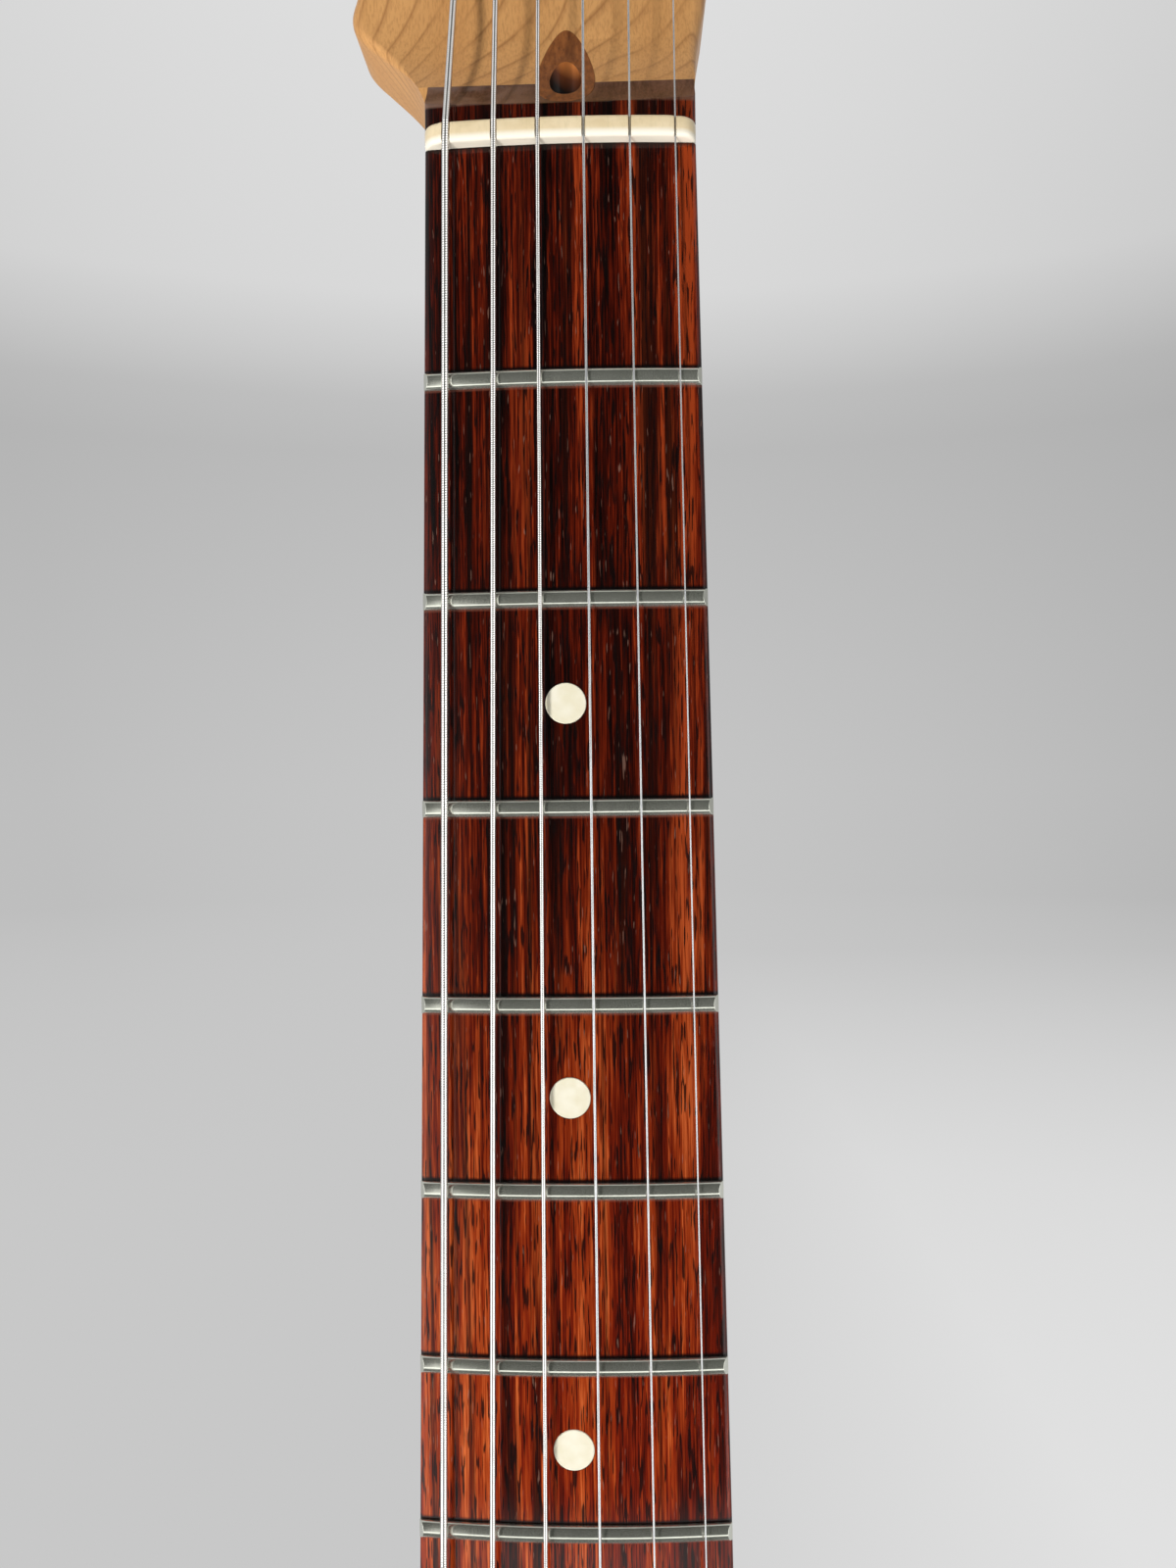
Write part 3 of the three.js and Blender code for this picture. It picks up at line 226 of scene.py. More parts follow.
def at(x, depth, z):
    """A point of the nut datum, in the frame's metres."""
    return Vector((x * MM, (depth - HEEL_DEPTH) * MM, z * MM + nut_z))


def across_neck(z, depth, x):
    return at(x, depth, z)


def lerp(a, b, share):
    return a + (b - a) * share


def smooth(value, low, high):
    share = min(max((value - low) / (high - low), 0), 1)
    return share * share * (3 - 2 * share)


def steps(low, high, count):
    """count values from low to high, without low."""
    return [lerp(low, high, (i + 1) / count) for i in range(count)]


def arc(x, y, radius, start, end, count, rise=None):
    """Points about a centre from one angle to another; rise is the radius along y where it differs."""
    rise = radius if rise is None else rise
    return [(x + radius * math.cos(a), y + rise * math.sin(a)) for a in (start, *steps(start, end, count))]


def rectangle(low_u, high_u, low_v, high_v):
    return [(low_u, low_v), (high_u, low_v), (high_u, high_v), (low_u, high_v)]


# Camera
CAMERA_PLACE = Vector((0.009595, -0.207760, 0.324294))
CAMERA_RIGHT = Vector((0.99934, 0.03447, -0.01132))
CAMERA_UP = Vector((0.01138, -0.00142, 0.99993))
CAMERA_LENS = 27.045
CAMERA_SENSOR = 36.0
CAMERA_CLIP = 0.01


def make_camera():
    camera = bpy.data.objects.new("camera", bpy.data.cameras.new("camera"))
    bpy.context.scene.collection.objects.link(camera)
    back = CAMERA_RIGHT.cross(CAMERA_UP).normalized()
    up = back.cross(CAMERA_RIGHT).normalized()
    turn = Matrix((CAMERA_RIGHT.normalized(), up, back)).transposed().to_4x4()
    camera.matrix_world = Matrix.Translation(CAMERA_PLACE) @ turn
    camera.data.lens = CAMERA_LENS
    camera.data.sensor_fit = "VERTICAL"
    camera.data.sensor_height = CAMERA_SENSOR
    camera.data.clip_start = CAMERA_CLIP
    bpy.context.scene.camera = camera


make_camera()


# Shapes, each a pair of vertices and faces
def skin(count, sides, closed=False):
    """Faces between rings of points, the last ring joined to the first if closed."""
    faces = []
    for r in range(count if closed else count - 1):
        low, high = r * sides, (r + 1) % count * sides
        for k in range(sides):
            following = (k + 1) % sides
            faces.append((low + k, low + following, high + following, high + k))
    return faces


def loft(rings):
    """A closed shape through rings with the same number of points."""
    sides = len(rings[0])
    vertices = [point for ring in rings for point in ring]
    last = len(vertices) - sides
    caps = [tuple(reversed(range(sides))), tuple(range(last, last + sides))]
    return vertices, skin(len(rings), sides) + caps


def circle(centre, across, up, radius, sides):
    turn = [TURN * k / sides for k in range(sides)]
    return [centre + radius * MM * (across * math.cos(a) + up * math.sin(a)) for a in turn]


def rod(start, end, radius, sides=48):
    """A cylinder between two points, its radius in millimetres."""
    along = (end - start).normalized()
    across = along.orthogonal().normalized()
    up = along.cross(across)
    return loft([circle(p, across, up, radius, sides) for p in (start, end)])


def bore(place, start, end, radius):
    """A cylinder along the depth at an (x, z) place."""
    x, z = place
    return rod(at(x, start, z), at(x, end, z), radius)


def turned_rings(profile, centre, axis, sides):
    across = axis.orthogonal().normalized()
    up = axis.cross(across)
    return [circle(centre + axis * height * MM, across, up, radius, sides) for radius, height in profile]


def lathe(profile, centre, sides=64):
    """A shape turned along the depth from (radius, height) pairs, both ends on its axis."""
    rings = turned_rings(profile[1:-1], centre, BACKWARD, sides)
    vertices = [point for ring in rings for point in ring]
    faces = skin(len(rings), sides)
    first, last = len(vertices), len(vertices) + 1
    end = first - sides
    for k in range(sides):
        following = (k + 1) % sides
        faces += [(first, following, k), (last, end + k, end + following)]
    tips = [centre + BACKWARD * profile[side][1] * MM for side in (0, -1)]
    return vertices + tips, faces


def ring_lathe(profile, centre, axis, sides=64):
    """A shape turned about an axis from a closed profile that stays clear of it."""
    vertices = [point for ring in turned_rings(profile, centre, axis, sides) for point in ring]
    return vertices, skin(len(profile), sides, closed=True)


def prism(outline, low, high, place):
    """An outline of pairs, drawn out from low to high by place(u, v, w)."""
    return loft([[place(u, v, w) for u, v in outline] for w in (low, high)])


# Pieces
def solid(name, shape):
    """A new mesh in the scene."""
    vertices, faces = shape
    mesh = bpy.data.meshes.new(name)
    mesh.from_pydata([tuple(v) for v in vertices], [], faces)
    obj = bpy.data.objects.new(name, mesh)
    bpy.context.scene.collection.objects.link(obj)
    return obj


def shade(obj, sharp=SHARP_ANGLE):
    """Turns a mesh's faces outward and shades it smooth but for its sharp edges."""
    outward = bmesh.new()
    outward.from_mesh(obj.data)
    bmesh.ops.recalc_face_normals(outward, faces=outward.faces)
    outward.to_mesh(obj.data)
    outward.free()
    obj.data.shade_smooth()
    obj.data.set_sharp_from_angle(angle=sharp)
    return obj


def cover(obj, material):
    obj.data.materials.clear()
    obj.data.materials.append(material)


def dress(obj, material, node=None, body="neck_body", sharp=SHARP_ANGLE):
    """Finishes a piece that rides on a body, in the place of a CAD node if one is named."""
    cover(shade(obj, sharp), material)
    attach(obj, body)
    if node:
        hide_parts(node)


def carve(target, shapes, operation="DIFFERENCE"):
    """Cuts, joins or intersects a piece with each shape in turn."""
    for shape in shapes:
        cutter = shade(solid("cutter", shape))
        cut = target.modifiers.new("cut", "BOOLEAN")
        cut.operation = operation
        cut.solver = "EXACT"
        cut.object = cutter
        settle(target)
        bpy.data.objects.remove(cutter)


def settle(obj):
    """Applies a piece's modifiers."""
    depsgraph = bpy.context.evaluated_depsgraph_get()
    mesh = bpy.data.meshes.new_from_object(obj.evaluated_get(depsgraph))
    obj.modifiers.clear()
    obj.data = mesh
    mesh.name = obj.name


def soften(obj, width, segments=2, angle=math.radians(35)):
    """Rounds the sharp edges of a piece by a width in millimetres."""
    edge = obj.modifiers.new("edge", "BEVEL")
    edge.width = width * MM
    edge.segments = segments
    edge.limit_method = "ANGLE"
    edge.angle_limit = angle
    edge.harden_normals = False


def cad_piece(node):
    """The frame's own piece for a CAD node."""
    return next(obj for obj in bpy.data.objects if obj.get("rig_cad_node") == node)


# Places that follow from the sizes, as the CAD works them out
def fret_distance(fret):
    return SCALE_LENGTH * (1 - 2 ** (-fret / 12))


board_end = -(fret_distance(FRET_COUNT) + BOARD_PAST_LAST_FRET)
string_end = board_end - STRING_PAST_HEEL
head_back = FACE_DEPTH + HEAD_THICKNESS
heel_top = board_end + HEEL_FLAT_LENGTH
ramp_top = heel_top + HEEL_RAMP_LENGTH
post_bore = POST["diameter"] / 2 + RUNNING_CLEARANCE
plate_back = head_back + PLATE["thickness"] + SEAT_GAP
gear_radius = GEAR_MODULE * GEAR_TEETH / 2
worm_lead = math.pi * GEAR_MODULE
worm_tip = WORM_PITCH_DIAMETER / 2 + GEAR_MODULE * WORM_ADDENDUM_SHARE
gear_centres = gear_radius + WORM_PITCH_DIAMETER / 2
worm_depth = plate_back + worm_tip + WORM_OVER_PLATE
gear_back = worm_depth + GEAR_WIDTH / 2
screw_back = gear_back + GEAR_SCREW["height"]


def crown_drop(x):
    return BOARD_RADIUS - math.sqrt(BOARD_RADIUS**2 - x**2)


def half_width(z):
    straight = lerp(NUT_WIDTH, HEEL_WIDTH, max(-z, 0) / fret_distance(FRET_COUNT)) / 2
    corner = max(HEEL_CORNER_ROUND - (z - board_end), 0)
    return straight - HEEL_CORNER_ROUND + math.sqrt(HEEL_CORNER_ROUND**2 - corner**2)


def sweep_depth(z):
    below = min(max(SWEEP_TOP - z, 0), SWEEP_RADIUS)
    return max(FACE_DEPTH - SWEEP_RADIUS + math.sqrt(SWEEP_RADIUS**2 - below**2), 0)


def sweep_height(depth):
    return SWEEP_TOP - math.sqrt(SWEEP_RADIUS**2 - (SWEEP_RADIUS - FACE_DEPTH + depth) ** 2)


shelf_end = sweep_height(0)
glue_line_end = sweep_height(BOARD_THICKNESS)


def rod_axis(z):
    return at(ROD_X, ROD_DEPTH + (ROD_HEIGHT - z) * math.tan(ROD_TILT), z)


def post_at(index):
    along = ROW_PITCH * index
    return FIRST_POST[0] + math.sin(ROW_TILT) * along, FIRST_POST[1] + math.cos(ROW_TILT) * along


def in_row(index, x, depth, z):
    """A point of a tuner's own frame: z along the row from its post, x square to it."""
    post_x, post_z = post_at(index)
    sin, cos = math.sin(ROW_TILT), math.cos(ROW_TILT)
    return at(post_x + x * cos + z * sin, depth, post_z - x * sin + z * cos)


# Headstock outline
def led_curve(start, end, leave, reach, count=60):
    """Points of a curve whose leads are shares of the run and rise between its ends."""
    lead = [(lerp(start[0], end[0], run), lerp(start[1], end[1], rise)) for run, rise in (leave, reach)]
    points = []
    for k in range(count + 1):
        t = k / count
        weights = ((1 - t) ** 3, 3 * (1 - t) ** 2 * t, 3 * (1 - t) * t**2, t**3)
        corners = (start, lead[0], lead[1], end)
        points.append(tuple(sum(w * c[axis] for w, c in zip(weights, corners)) for axis in (0, 1)))
    return points


BASS_LEAD_SHARES = (((0, 0.45), (0.58, 0.74)), ((1, 0.29), (1.62, 0.55)), ((0.22, 0.6), (0.55, 1)))
TREBLE_LEAD_SHARES = (((0, 0.4), (0.45, 0.7)), ((0.35, 0.2), (1, 0.6)), ((0, 0.62), (0.35, 1)))


def bass_outline():
    start = (-NUT_WIDTH / 2, FLARE_START)
    end = (SHOULDER[0] + math.tan(ROW_TILT) * (BASS_EDGE_END - SHOULDER[1]), BASS_EDGE_END)
    throat, corner, top = BASS_LEAD_SHARES
    return (
        led_curve(start, SHOULDER_TURN, *throat)
        + led_curve(SHOULDER_TURN, SHOULDER, *corner)
        + led_curve(end, TIP, *top)
    )


def treble_outline():
    throat, cheek, top = TREBLE_LEAD_SHARES
    return (
        led_curve((NUT_WIDTH / 2, FLARE_START), WAIST, *throat)
        + led_curve(WAIST, TREBLE_CHEEK, *cheek)
        + led_curve(TREBLE_CHEEK, TIP, *top)
    )


def edge_at(outline, z):
    for (low_x, low_z), (high_x, high_z) in zip(outline, outline[1:]):
        if high_z >= z > low_z:
            return lerp(low_x, high_x, (z - low_z) / (high_z - low_z))
    return outline[0][0] if z <= outline[0][1] else outline[-1][0]


bass_edge = bass_outline()
treble_edge = treble_outline()


# Neck
def neck_back(z):
    per_length = (OCTAVE_FRET_DEPTH - FIRST_FRET_DEPTH) / (fret_distance(12) - fret_distance(1))
    shaft = FIRST_FRET_DEPTH + per_length * (-z - fret_distance(1))
    over_heel = lerp(HEEL_DEPTH, shaft, smooth(z, heel_top, ramp_top))
    over_head = lerp(over_heel, head_back, smooth(z, HEAD_BLEND_FROM, SWEEP_TOP))
    return over_head - tip_round(z)


def tip_round(z):
    into = max(HEAD_EDGE_ROUND - (TIP[1] - z), 0)
    return HEAD_EDGE_ROUND - math.sqrt(HEAD_EDGE_ROUND**2 - into**2)


def section_corner(x, depth, z, side_x, side_y, size_x, size_y, power, count):
    """A quarter of a superellipse about a centre, from its side to its top."""
    points = []
    for k in range(count + 1):
        angle = QUARTER * k / count
        out_x = side_x * size_x * max(math.cos(angle), 0) ** power
        out_y = side_y * size_y * math.sin(angle) ** power
        points.append(at(x + out_x, depth + out_y, z))
    return points


def neck_section(z):
    on_head = z > FLARE_START
    left = edge_at(bass_edge, z) if on_head else -half_width(z)
    right = edge_at(treble_edge, z) if on_head else half_width(z)
    front = max(sweep_depth(z), BOARD_THICKNESS) + tip_round(z)
    back = neck_back(z)
    head_share = smooth(z, HEAD_BLEND_FROM, HEAD_BLEND_TO)
    block_share = max(1 - smooth(z, heel_top, ramp_top), head_share)
    block_round = HEAD_EDGE_ROUND if z > 0 else HEEL_EDGE_ROUND
    edge = lerp(GLUE_LINE_EDGE, HEAD_EDGE_ROUND, smooth(z, glue_line_end, SHOULDER_TURN[1]))
    front_edge = min(edge, (right - left) / 3)
    half = (right - left) / 2
    reach = min(lerp(half - SHAFT_FLAT / 2, block_round, block_share), half * 0.9)
    side = lerp(SHAFT_SIDE, back - front - block_round - front_edge, block_share)
    rise = back - front - front_edge - side
    power = 2 / lerp(SHAFT_ROUNDNESS, 2, block_share)
    low = front + front_edge
    front_size = (front_edge, front_edge, 1, 6)
    back_size = (reach, rise, power, 18)
    return (
        section_corner(left + front_edge, low, z, -1, -1, *front_size)
        + section_corner(right - front_edge, low, z, 1, -1, *front_size)[::-1]
        + section_corner(right - reach, back - rise, z, 1, 1, *back_size)
        + section_corner(left + reach, back - rise, z, -1, 1, *back_size)[::-1]
    )


def neck_shape():
    """The whole neck, whose last slices crowd towards the tip but stop just before it."""
    tip_from = BASS_EDGE_END - HEAD_EDGE_ROUND
    near_tip = [tip_from + (TIP[1] - tip_from) * math.sin(a) for a in steps(0, QUARTER * 0.985, 40)]
    heights = [
        board_end,
        *steps(board_end, board_end + HEEL_CORNER_ROUND, 10),
        *steps(board_end + HEEL_CORNER_ROUND, heel_top, 2),
        *steps(heel_top, ramp_top, 24),
        *steps(ramp_top, HEAD_BLEND_FROM, 12),
        *steps(HEAD_BLEND_FROM, FLARE_START, 20),
        *steps(FLARE_START, glue_line_end, 10),
        *steps(glue_line_end, SWEEP_TOP, 36),
        *steps(SWEEP_TOP, tip_from, 20),
        *near_tip,
    ]
    return loft([neck_section(z) for z in heights])


def rod_depth(z):
    """The depth of the truss rod's middle, straight under the nut and bowed further down."""
    share = max((ROD_STRAIGHT_END - z) / (ROD_STRAIGHT_END - ROD_END["z"]), 0)
    start = ROD_DEPTH + (ROD_HEIGHT - max(z, ROD_STRAIGHT_END)) * math.tan(ROD_TILT)
    return lerp(start, ROD_END["depth"], share) + ROD_BOW * 4 * share * (1 - share)


def channel(width, behind_rod, shrink=0.0):
    """The rod's channel, from before or behind the rod to the back of the neck."""
    half = width / 2
    offset = (ROD_DIAMETER / 2 + ROD_CLEARANCE) * (1 if behind_rod else -1)
    top, bottom = CHANNEL["top"] - half, CHANNEL["bottom"] + shrink + half
    outline = [
        *arc(0, top, half, 0, math.pi, 16)[1:],
        *((-half, level) for level in steps(top, bottom, 24)),
        *arc(0, bottom, half, math.pi, TURN, 16)[1:],
        *((half, level) for level in steps(bottom, top, 24)),
    ]
    near = [at(x, rod_depth(z) + offset, z) for x, z in outline]
    far = [at(x, HEEL_DEPTH + OVERRUN, z) for x, z in outline]
    return loft([near, far])


def anchor_pocket():
    back = ANCHOR["front"] + ANCHOR["thickness"] + ROD_CLEARANCE
    radius = ANCHOR["diameter"] / 2 + ROD_CLEARANCE
    return bore((0, ANCHOR["z"]), BOARD_THICKNESS - OVERRUN, back, radius)


def head_bore(place, radius, depth):
    return bore(place, FACE_DEPTH - OVERRUN, FACE_DEPTH + depth, radius)


def heel_pilots():
    middle = board_end + HEEL_SCREWS["to_end"] + HEEL_SCREWS["span_z"] / 2
    bores = []
    for side_x in (-0.5, 0.5):
        for side_z in (-0.5, 0.5):
            place = (side_x * HEEL_SCREWS["span_x"], middle + side_z * HEEL_SCREWS["span_z"])
            bottom = HEEL_DEPTH - HEEL_SCREWS["depth"]
            bores.append(bore(place, HEEL_DEPTH + OVERRUN, bottom, HEEL_SCREWS["diameter"] / 2))
    return bores


def plug_bore(diameter):
    return rod(rod_axis(PLUG_BOTTOM), rod_axis(SWEEP_TOP + OVERRUN / 2), diameter / 2, 96)


def tree_place():
    return sum(string_x(index, TREE["z"]) for index in STRINGS_UNDER_TREE) / 2, TREE["z"]


def make_neck(material):
    neck = shade(solid("neck_wood", neck_shape()))
    posts = [head_bore(post_at(i), post_bore, HEAD_THICKNESS + OVERRUN) for i in range(STRING_COUNT)]
    tree_hole = head_bore(tree_place(), TREE_SCREW["shank"] / 2 + RUNNING_CLEARANCE, TREE_SCREW["reach"])
    nut_ends = rod_axis(PLUG_BOTTOM + OVERRUN / 2), rod_axis(ROD_NUT_BORE["bottom"])
    nut_bore = rod(*nut_ends, ROD_NUT_BORE["diameter"] / 2)
    carve(neck, [*posts, *heel_pilots(), tree_hole, plug_bore(PLUG_DIAMETER + 2 * INLAY_GAP), nut_bore])
    carve(neck, [channel(CHANNEL["width"], False), anchor_pocket()])
    dress(neck, material, "neck")


def make_stripe(material):
    stripe = shade(solid("back_stripe_wood", neck_shape()))
    carve(stripe, [channel(CHANNEL["width"] - 2 * INLAY_GAP, True, INLAY_GAP)], "INTERSECT")
    carve(stripe, [anchor_pocket()])
    dress(stripe, material, "back_stripe")


# Fingerboard, dots and frets
def board_section(z):
    half = half_width(z)
    flat = half - BOARD_EDGE_ROLL
    crown = [(x, crown_drop(x)) for x in (-flat, *steps(-flat, flat, 40))]
    roll = arc(flat, crown_drop(flat) + BOARD_EDGE_ROLL, BOARD_EDGE_ROLL, -QUARTER, 0, 5)[1:]

    def swept_away(points):
        deepest = BOARD_THICKNESS - BOARD_FEATHER
        return [at(x, min(max(depth, sweep_depth(z)), deepest), z) for x, depth in points]

    return [
        *swept_away(crown + roll),
        at(half, BOARD_THICKNESS, z),
        at(-half, BOARD_THICKNESS, z),
        *swept_away((-x, depth) for x, depth in reversed(roll)),
    ]


def slot_cutter(fret):
    z = -fret_distance(fret)
    half = TANG_WIDTH / 2 + TANG_CLEARANCE
    bottom = crown_drop(half_width(z)) + TANG_DEPTH + TANG_CLEARANCE
    return prism(rectangle(z - half, z + half, -OVERRUN, bottom), -HEEL_WIDTH, HEEL_WIDTH, across_neck)


def nut_seat(low, over):
    """The nut's seat, from a height up to the nut's upper face and open over the board."""
    outline = rectangle(low, NUT_THICKNESS, -over, NUT_SLOT_DEPTH)
    return prism(outline, -NUT_WIDTH, NUT_WIDTH, across_neck)


def dot_places():
    singles = [(f"inlay_{fret:02d}", 0, fret) for fret in DOT_FRETS if fret != 12]
    return singles + [("inlay_12_bass", -OCTAVE_DOT_X, 12), ("inlay_12_treble", OCTAVE_DOT_X, 12)]


def dot_height(fret):
    return -(fret_distance(fret) + fret_distance(fret - 1)) / 2


def dot_shape(x, fret, radius, top, bottom):
    tilt = math.asin(x / BOARD_RADIUS)
    centre = at(0, BOARD_RADIUS, dot_height(fret))
    outward = Vector((math.sin(tilt), -math.cos(tilt), 0))
    ends = [centre + outward * (BOARD_RADIUS + rise) * MM for rise in (top, -bottom)]
    return rod(*ends, radius, 72)


def make_board(material):
    heights = [
        board_end,
        *steps(board_end, board_end + HEEL_CORNER_ROUND, 10),
        *steps(board_end + HEEL_CORNER_ROUND, 0, 6),
        *steps(0, shelf_end, 2),
        *steps(shelf_end, glue_line_end, 24),
    ]
    board = shade(solid("fingerboard_wood", loft([board_section(z) for z in heights])))
    dots = [
        dot_shape(x, fret, INLAY_DIAMETER / 2 + INLAY_GAP, OVERRUN, INLAY_DEPTH + INLAY_GAP)
        for _, x, fret in dot_places()
    ]
    slots = [slot_cutter(fret) for fret in range(1, FRET_COUNT + 1)]
    carve(board, [nut_seat(0, OVERRUN), *dots, *slots, plug_bore(PLUG_DIAMETER + 2 * INLAY_GAP)])
    dress(board, material, "fingerboard", sharp=math.radians(24))


def make_dots(material):
    for name, x, fret in dot_places():
        dot = solid(f"{name}_disc", dot_shape(x, fret, INLAY_DIAMETER / 2, INLAY_STAND, INLAY_DEPTH))
        dress(dot, material, name)
        soften(dot, INLAY_EDGE)


def fret_shape(fret):
    z = -fret_distance(fret)
    half = half_width(z)
    flat = half - BOARD_EDGE_ROLL
    stand = FRET_HEIGHT - SEAT_GAP
    crown = [
        (FRET_WIDTH / 2 * math.cos(a), SEAT_GAP + stand * math.sin(a) ** FRET_CROWN_POWER)
        for a in (0, *steps(0, math.pi, 16))
    ]
    half_tang = TANG_WIDTH / 2
    section = [
        *crown,
        (-half_tang, SEAT_GAP),
        (-half_tang, -TANG_DEPTH),
        (half_tang, -TANG_DEPTH),
        (half_tang, SEAT_GAP),
    ]
    rings = []
    for x in (-half, -flat, *steps(-flat, flat, 24), half):
        at_end = abs(x) == half
        lean = math.copysign(math.tan(FRET_END_BEVEL), x) if at_end else 0
        drop = crown_drop(flat if at_end else x)
        rings.append([at(x - lean * max(rise, 0), drop - rise, z + offset) for offset, rise in section])
    return loft(rings)


def make_frets(material):
    for fret in range(1, FRET_COUNT + 1):
        wire = solid(f"fret_wire_{fret:02d}", fret_shape(fret))
        dress(wire, material, f"fret_{fret:02d}", sharp=math.radians(40))
        soften(wire, FRET_EDGE, 2, math.radians(42))


# Nut
def nut_top(x):
    return crown_drop(x) - NUT_STAND


def make_nut(material):
    half = NUT_WIDTH / 2
    flat = half - NUT_END_ROUND
    bottom = NUT_SLOT_DEPTH - NUT_FIT
    shoulder = nut_top(half) + NUT_END_ROUND
    outline = [
        (-half, bottom),
        (half, bottom),
        *arc(flat, shoulder, NUT_END_ROUND, 0, -QUARTER, 8),
        *((x, nut_top(x)) for x in steps(flat, -flat, 24)),
        *arc(-flat, shoulder, NUT_END_ROUND, -QUARTER, -math.pi, 8)[1:],
    ]
    nut = shade(solid("nut_bone", prism(outline, NUT_FIT, NUT_THICKNESS - NUT_FIT, at)))
    soften(nut, NUT_EDGE_ROUND, 5)
    settle(nut)
    carve(nut, [nut_slot(index) for index in range(STRING_COUNT)])
    dress(nut, material, "nut")
    soften(nut, NUT_SLOT_EDGE, 1, math.radians(60))


def nut_slot(index):
    radius = STRING_DIAMETERS[index] / 2 + NUT_SLOT_CLEARANCE
    x, depth = string_x(index, 0), string_depth(index, 0)
    slope = (string_x(index, NUT_THICKNESS) - x) / NUT_THICKNESS
    outline = [(-radius, -OVERRUN), (radius, -OVERRUN), *arc(0, 0, radius, 0, math.pi, 12)]
    ends = (-OVERRUN, NUT_THICKNESS + OVERRUN)
    return prism(outline, *ends, lambda u, v, w: at(x + u + slope * w, depth + v, w))


# Strings
def wrap_radius(index):
    return POST["waist"] / 2 + WRAP["clearance"] + STRING_DIAMETERS[index] / 2


def string_x(index, z):
    if z > 0:
        post_x, post_z = post_at(index)
        return lerp(STRINGS_AT_NUT[index], post_x + wrap_radius(index), min(z / post_z, 1))
    return lerp(STRINGS_AT_NUT[index], STRINGS_AT_BRIDGE[index], -z / SCALE_LENGTH)


def string_depth(index, z):
    over_octave = FRET_HEIGHT + STRING_OVER_OCTAVE_FRET
    lift = lerp(STRING_OVER_BOARD, over_octave, -z / fret_distance(12))
    return crown_drop(string_x(index, z)) - lift - STRING_DIAMETERS[index] / 2


def string_at(index, z):
    return at(string_x(index, z), string_depth(index, z), z)


def string_path(index):
    """The string's middle from its ball end over the nut to the top of its wraps."""
    radius = STRING_DIAMETERS[index] / 2
    path = [string_at(index, string_end), string_at(index, 0)]
    path.append(at(string_x(index, NUT_THICKNESS), string_depth(index, 0), NUT_THICKNESS))
    if index in STRINGS_UNDER_TREE:
        for side in (-0.5, 0.5):
            z = TREE["z"] + side * TREE["width"]
            path.append(at(string_x(index, z), TREE["under_wing"] + SEAT_GAP + radius, z))
    pitch = 2 * radius + WRAP["spacing"]
    post_x, post_z = post_at(index)
    for k in range(int(WRAP["turns"] * 40) + 1):
        turn = k / 40
        x = post_x + wrap_radius(index) * math.cos(TURN * turn)
        z = post_z + wrap_radius(index) * math.sin(TURN * turn)
        path.append(at(x, WRAP["top"] + radius + pitch * (WRAP["turns"] - turn), z))
    return path


def stations(path, spacing):
    """Points every spacing metres along a path, each with its heading."""
    found = []
    ahead = 0.0
    for start, end in zip(path, path[1:]):
        length = (end - start).length
        heading = (end - start) / length
        while ahead < length:
            found.append((start + heading * ahead, heading))
            ahead += spacing
        ahead -= length
    found.append((path[-1], heading))
    return found


def sides_across(found):
    """Two directions square to each heading, carried along without twist."""
    across = Vector((1, 0, 0))
    frames = []
    for point, heading in found:
        across = (across - heading * across.dot(heading)).normalized()
        frames.append((point, heading, across, heading.cross(across)))
    return frames


def headings_at(path, i):
    return (path[min(i + 1, len(path) - 1)] - path[max(i - 1, 0)]).normalized()


def plain_tube(path, radius, sides=14):
    frames = sides_across([(p, headings_at(path, i)) for i, p in enumerate(path)])
    return loft([circle(p, across, up, radius, sides) for p, _, across, up in frames])


def wound_tube(path, radius, pitch, ridge, sides=8):
    """A tube whose skin is one long helical ridge, as wrap wire makes it."""
    frames = sides_across(stations(path, pitch * MM / len(RIDGE_SHARES)))
    vertices = []
    for k, (point, heading, across, up) in enumerate(frames):
        out = radius - ridge * (1 - RIDGE_SHARES[k % len(RIDGE_SHARES)])
        at_end = k in (0, len(frames) - 1)
        for j in range(sides):
            angle = TURN * j / sides
            along = 0 if at_end else pitch * (j / sides - 0.5)
            spoke = across * math.cos(angle) + up * math.sin(angle)
            vertices.append(point + (spoke * out + heading * along) * MM)
    return vertices, helical_faces(len(frames), sides)


def helical_faces(count, sides):
    """Faces of a helical tube, whose seam joins each ring to the one a turn further on."""
    turn = len(RIDGE_SHARES)
    faces = []
    for k in range(count - 1):
        for a in range(k * sides, k * sides + sides - 1):
            faces.append((a, a + 1, a + 1 + sides, a + sides))
    for k in range(count - 1 - turn):
        a, b = k * sides + sides - 1, (k + turn) * sides
        faces.append((a, b, b + sides, a + sides))
    end = (count - 1) * sides
    last_seam = [end - k * sides - 1 for k in reversed(range(turn))]
    faces.append((*range(turn * sides, 0, -sides), *range(sides)))
    faces.append((*reversed(range(end, end + sides)), *last_seam))
    return faces


def ball_shape(index):
    """A brass ball end: a short drum with a groove round its waist."""
    centre = string_at(index, string_end) - Vector((0, 0, BALL["diameter"] / 2 * MM))
    half, outer, inner = BALL["width"] / 2, BALL["diameter"] / 2, BALL["bore"] / 2
    side = [
        (inner, half),
        (outer - BALL["edge"], half),
        (outer, half - BALL["edge"]),
        (outer, half * 0.45),
        (outer - BALL["groove"], half * 0.25),
    ]
    profile = [(radius, -height) for radius, height in side] + side[::-1]
    return ring_lathe(profile, centre, Vector((1, 0, 0)), 40)


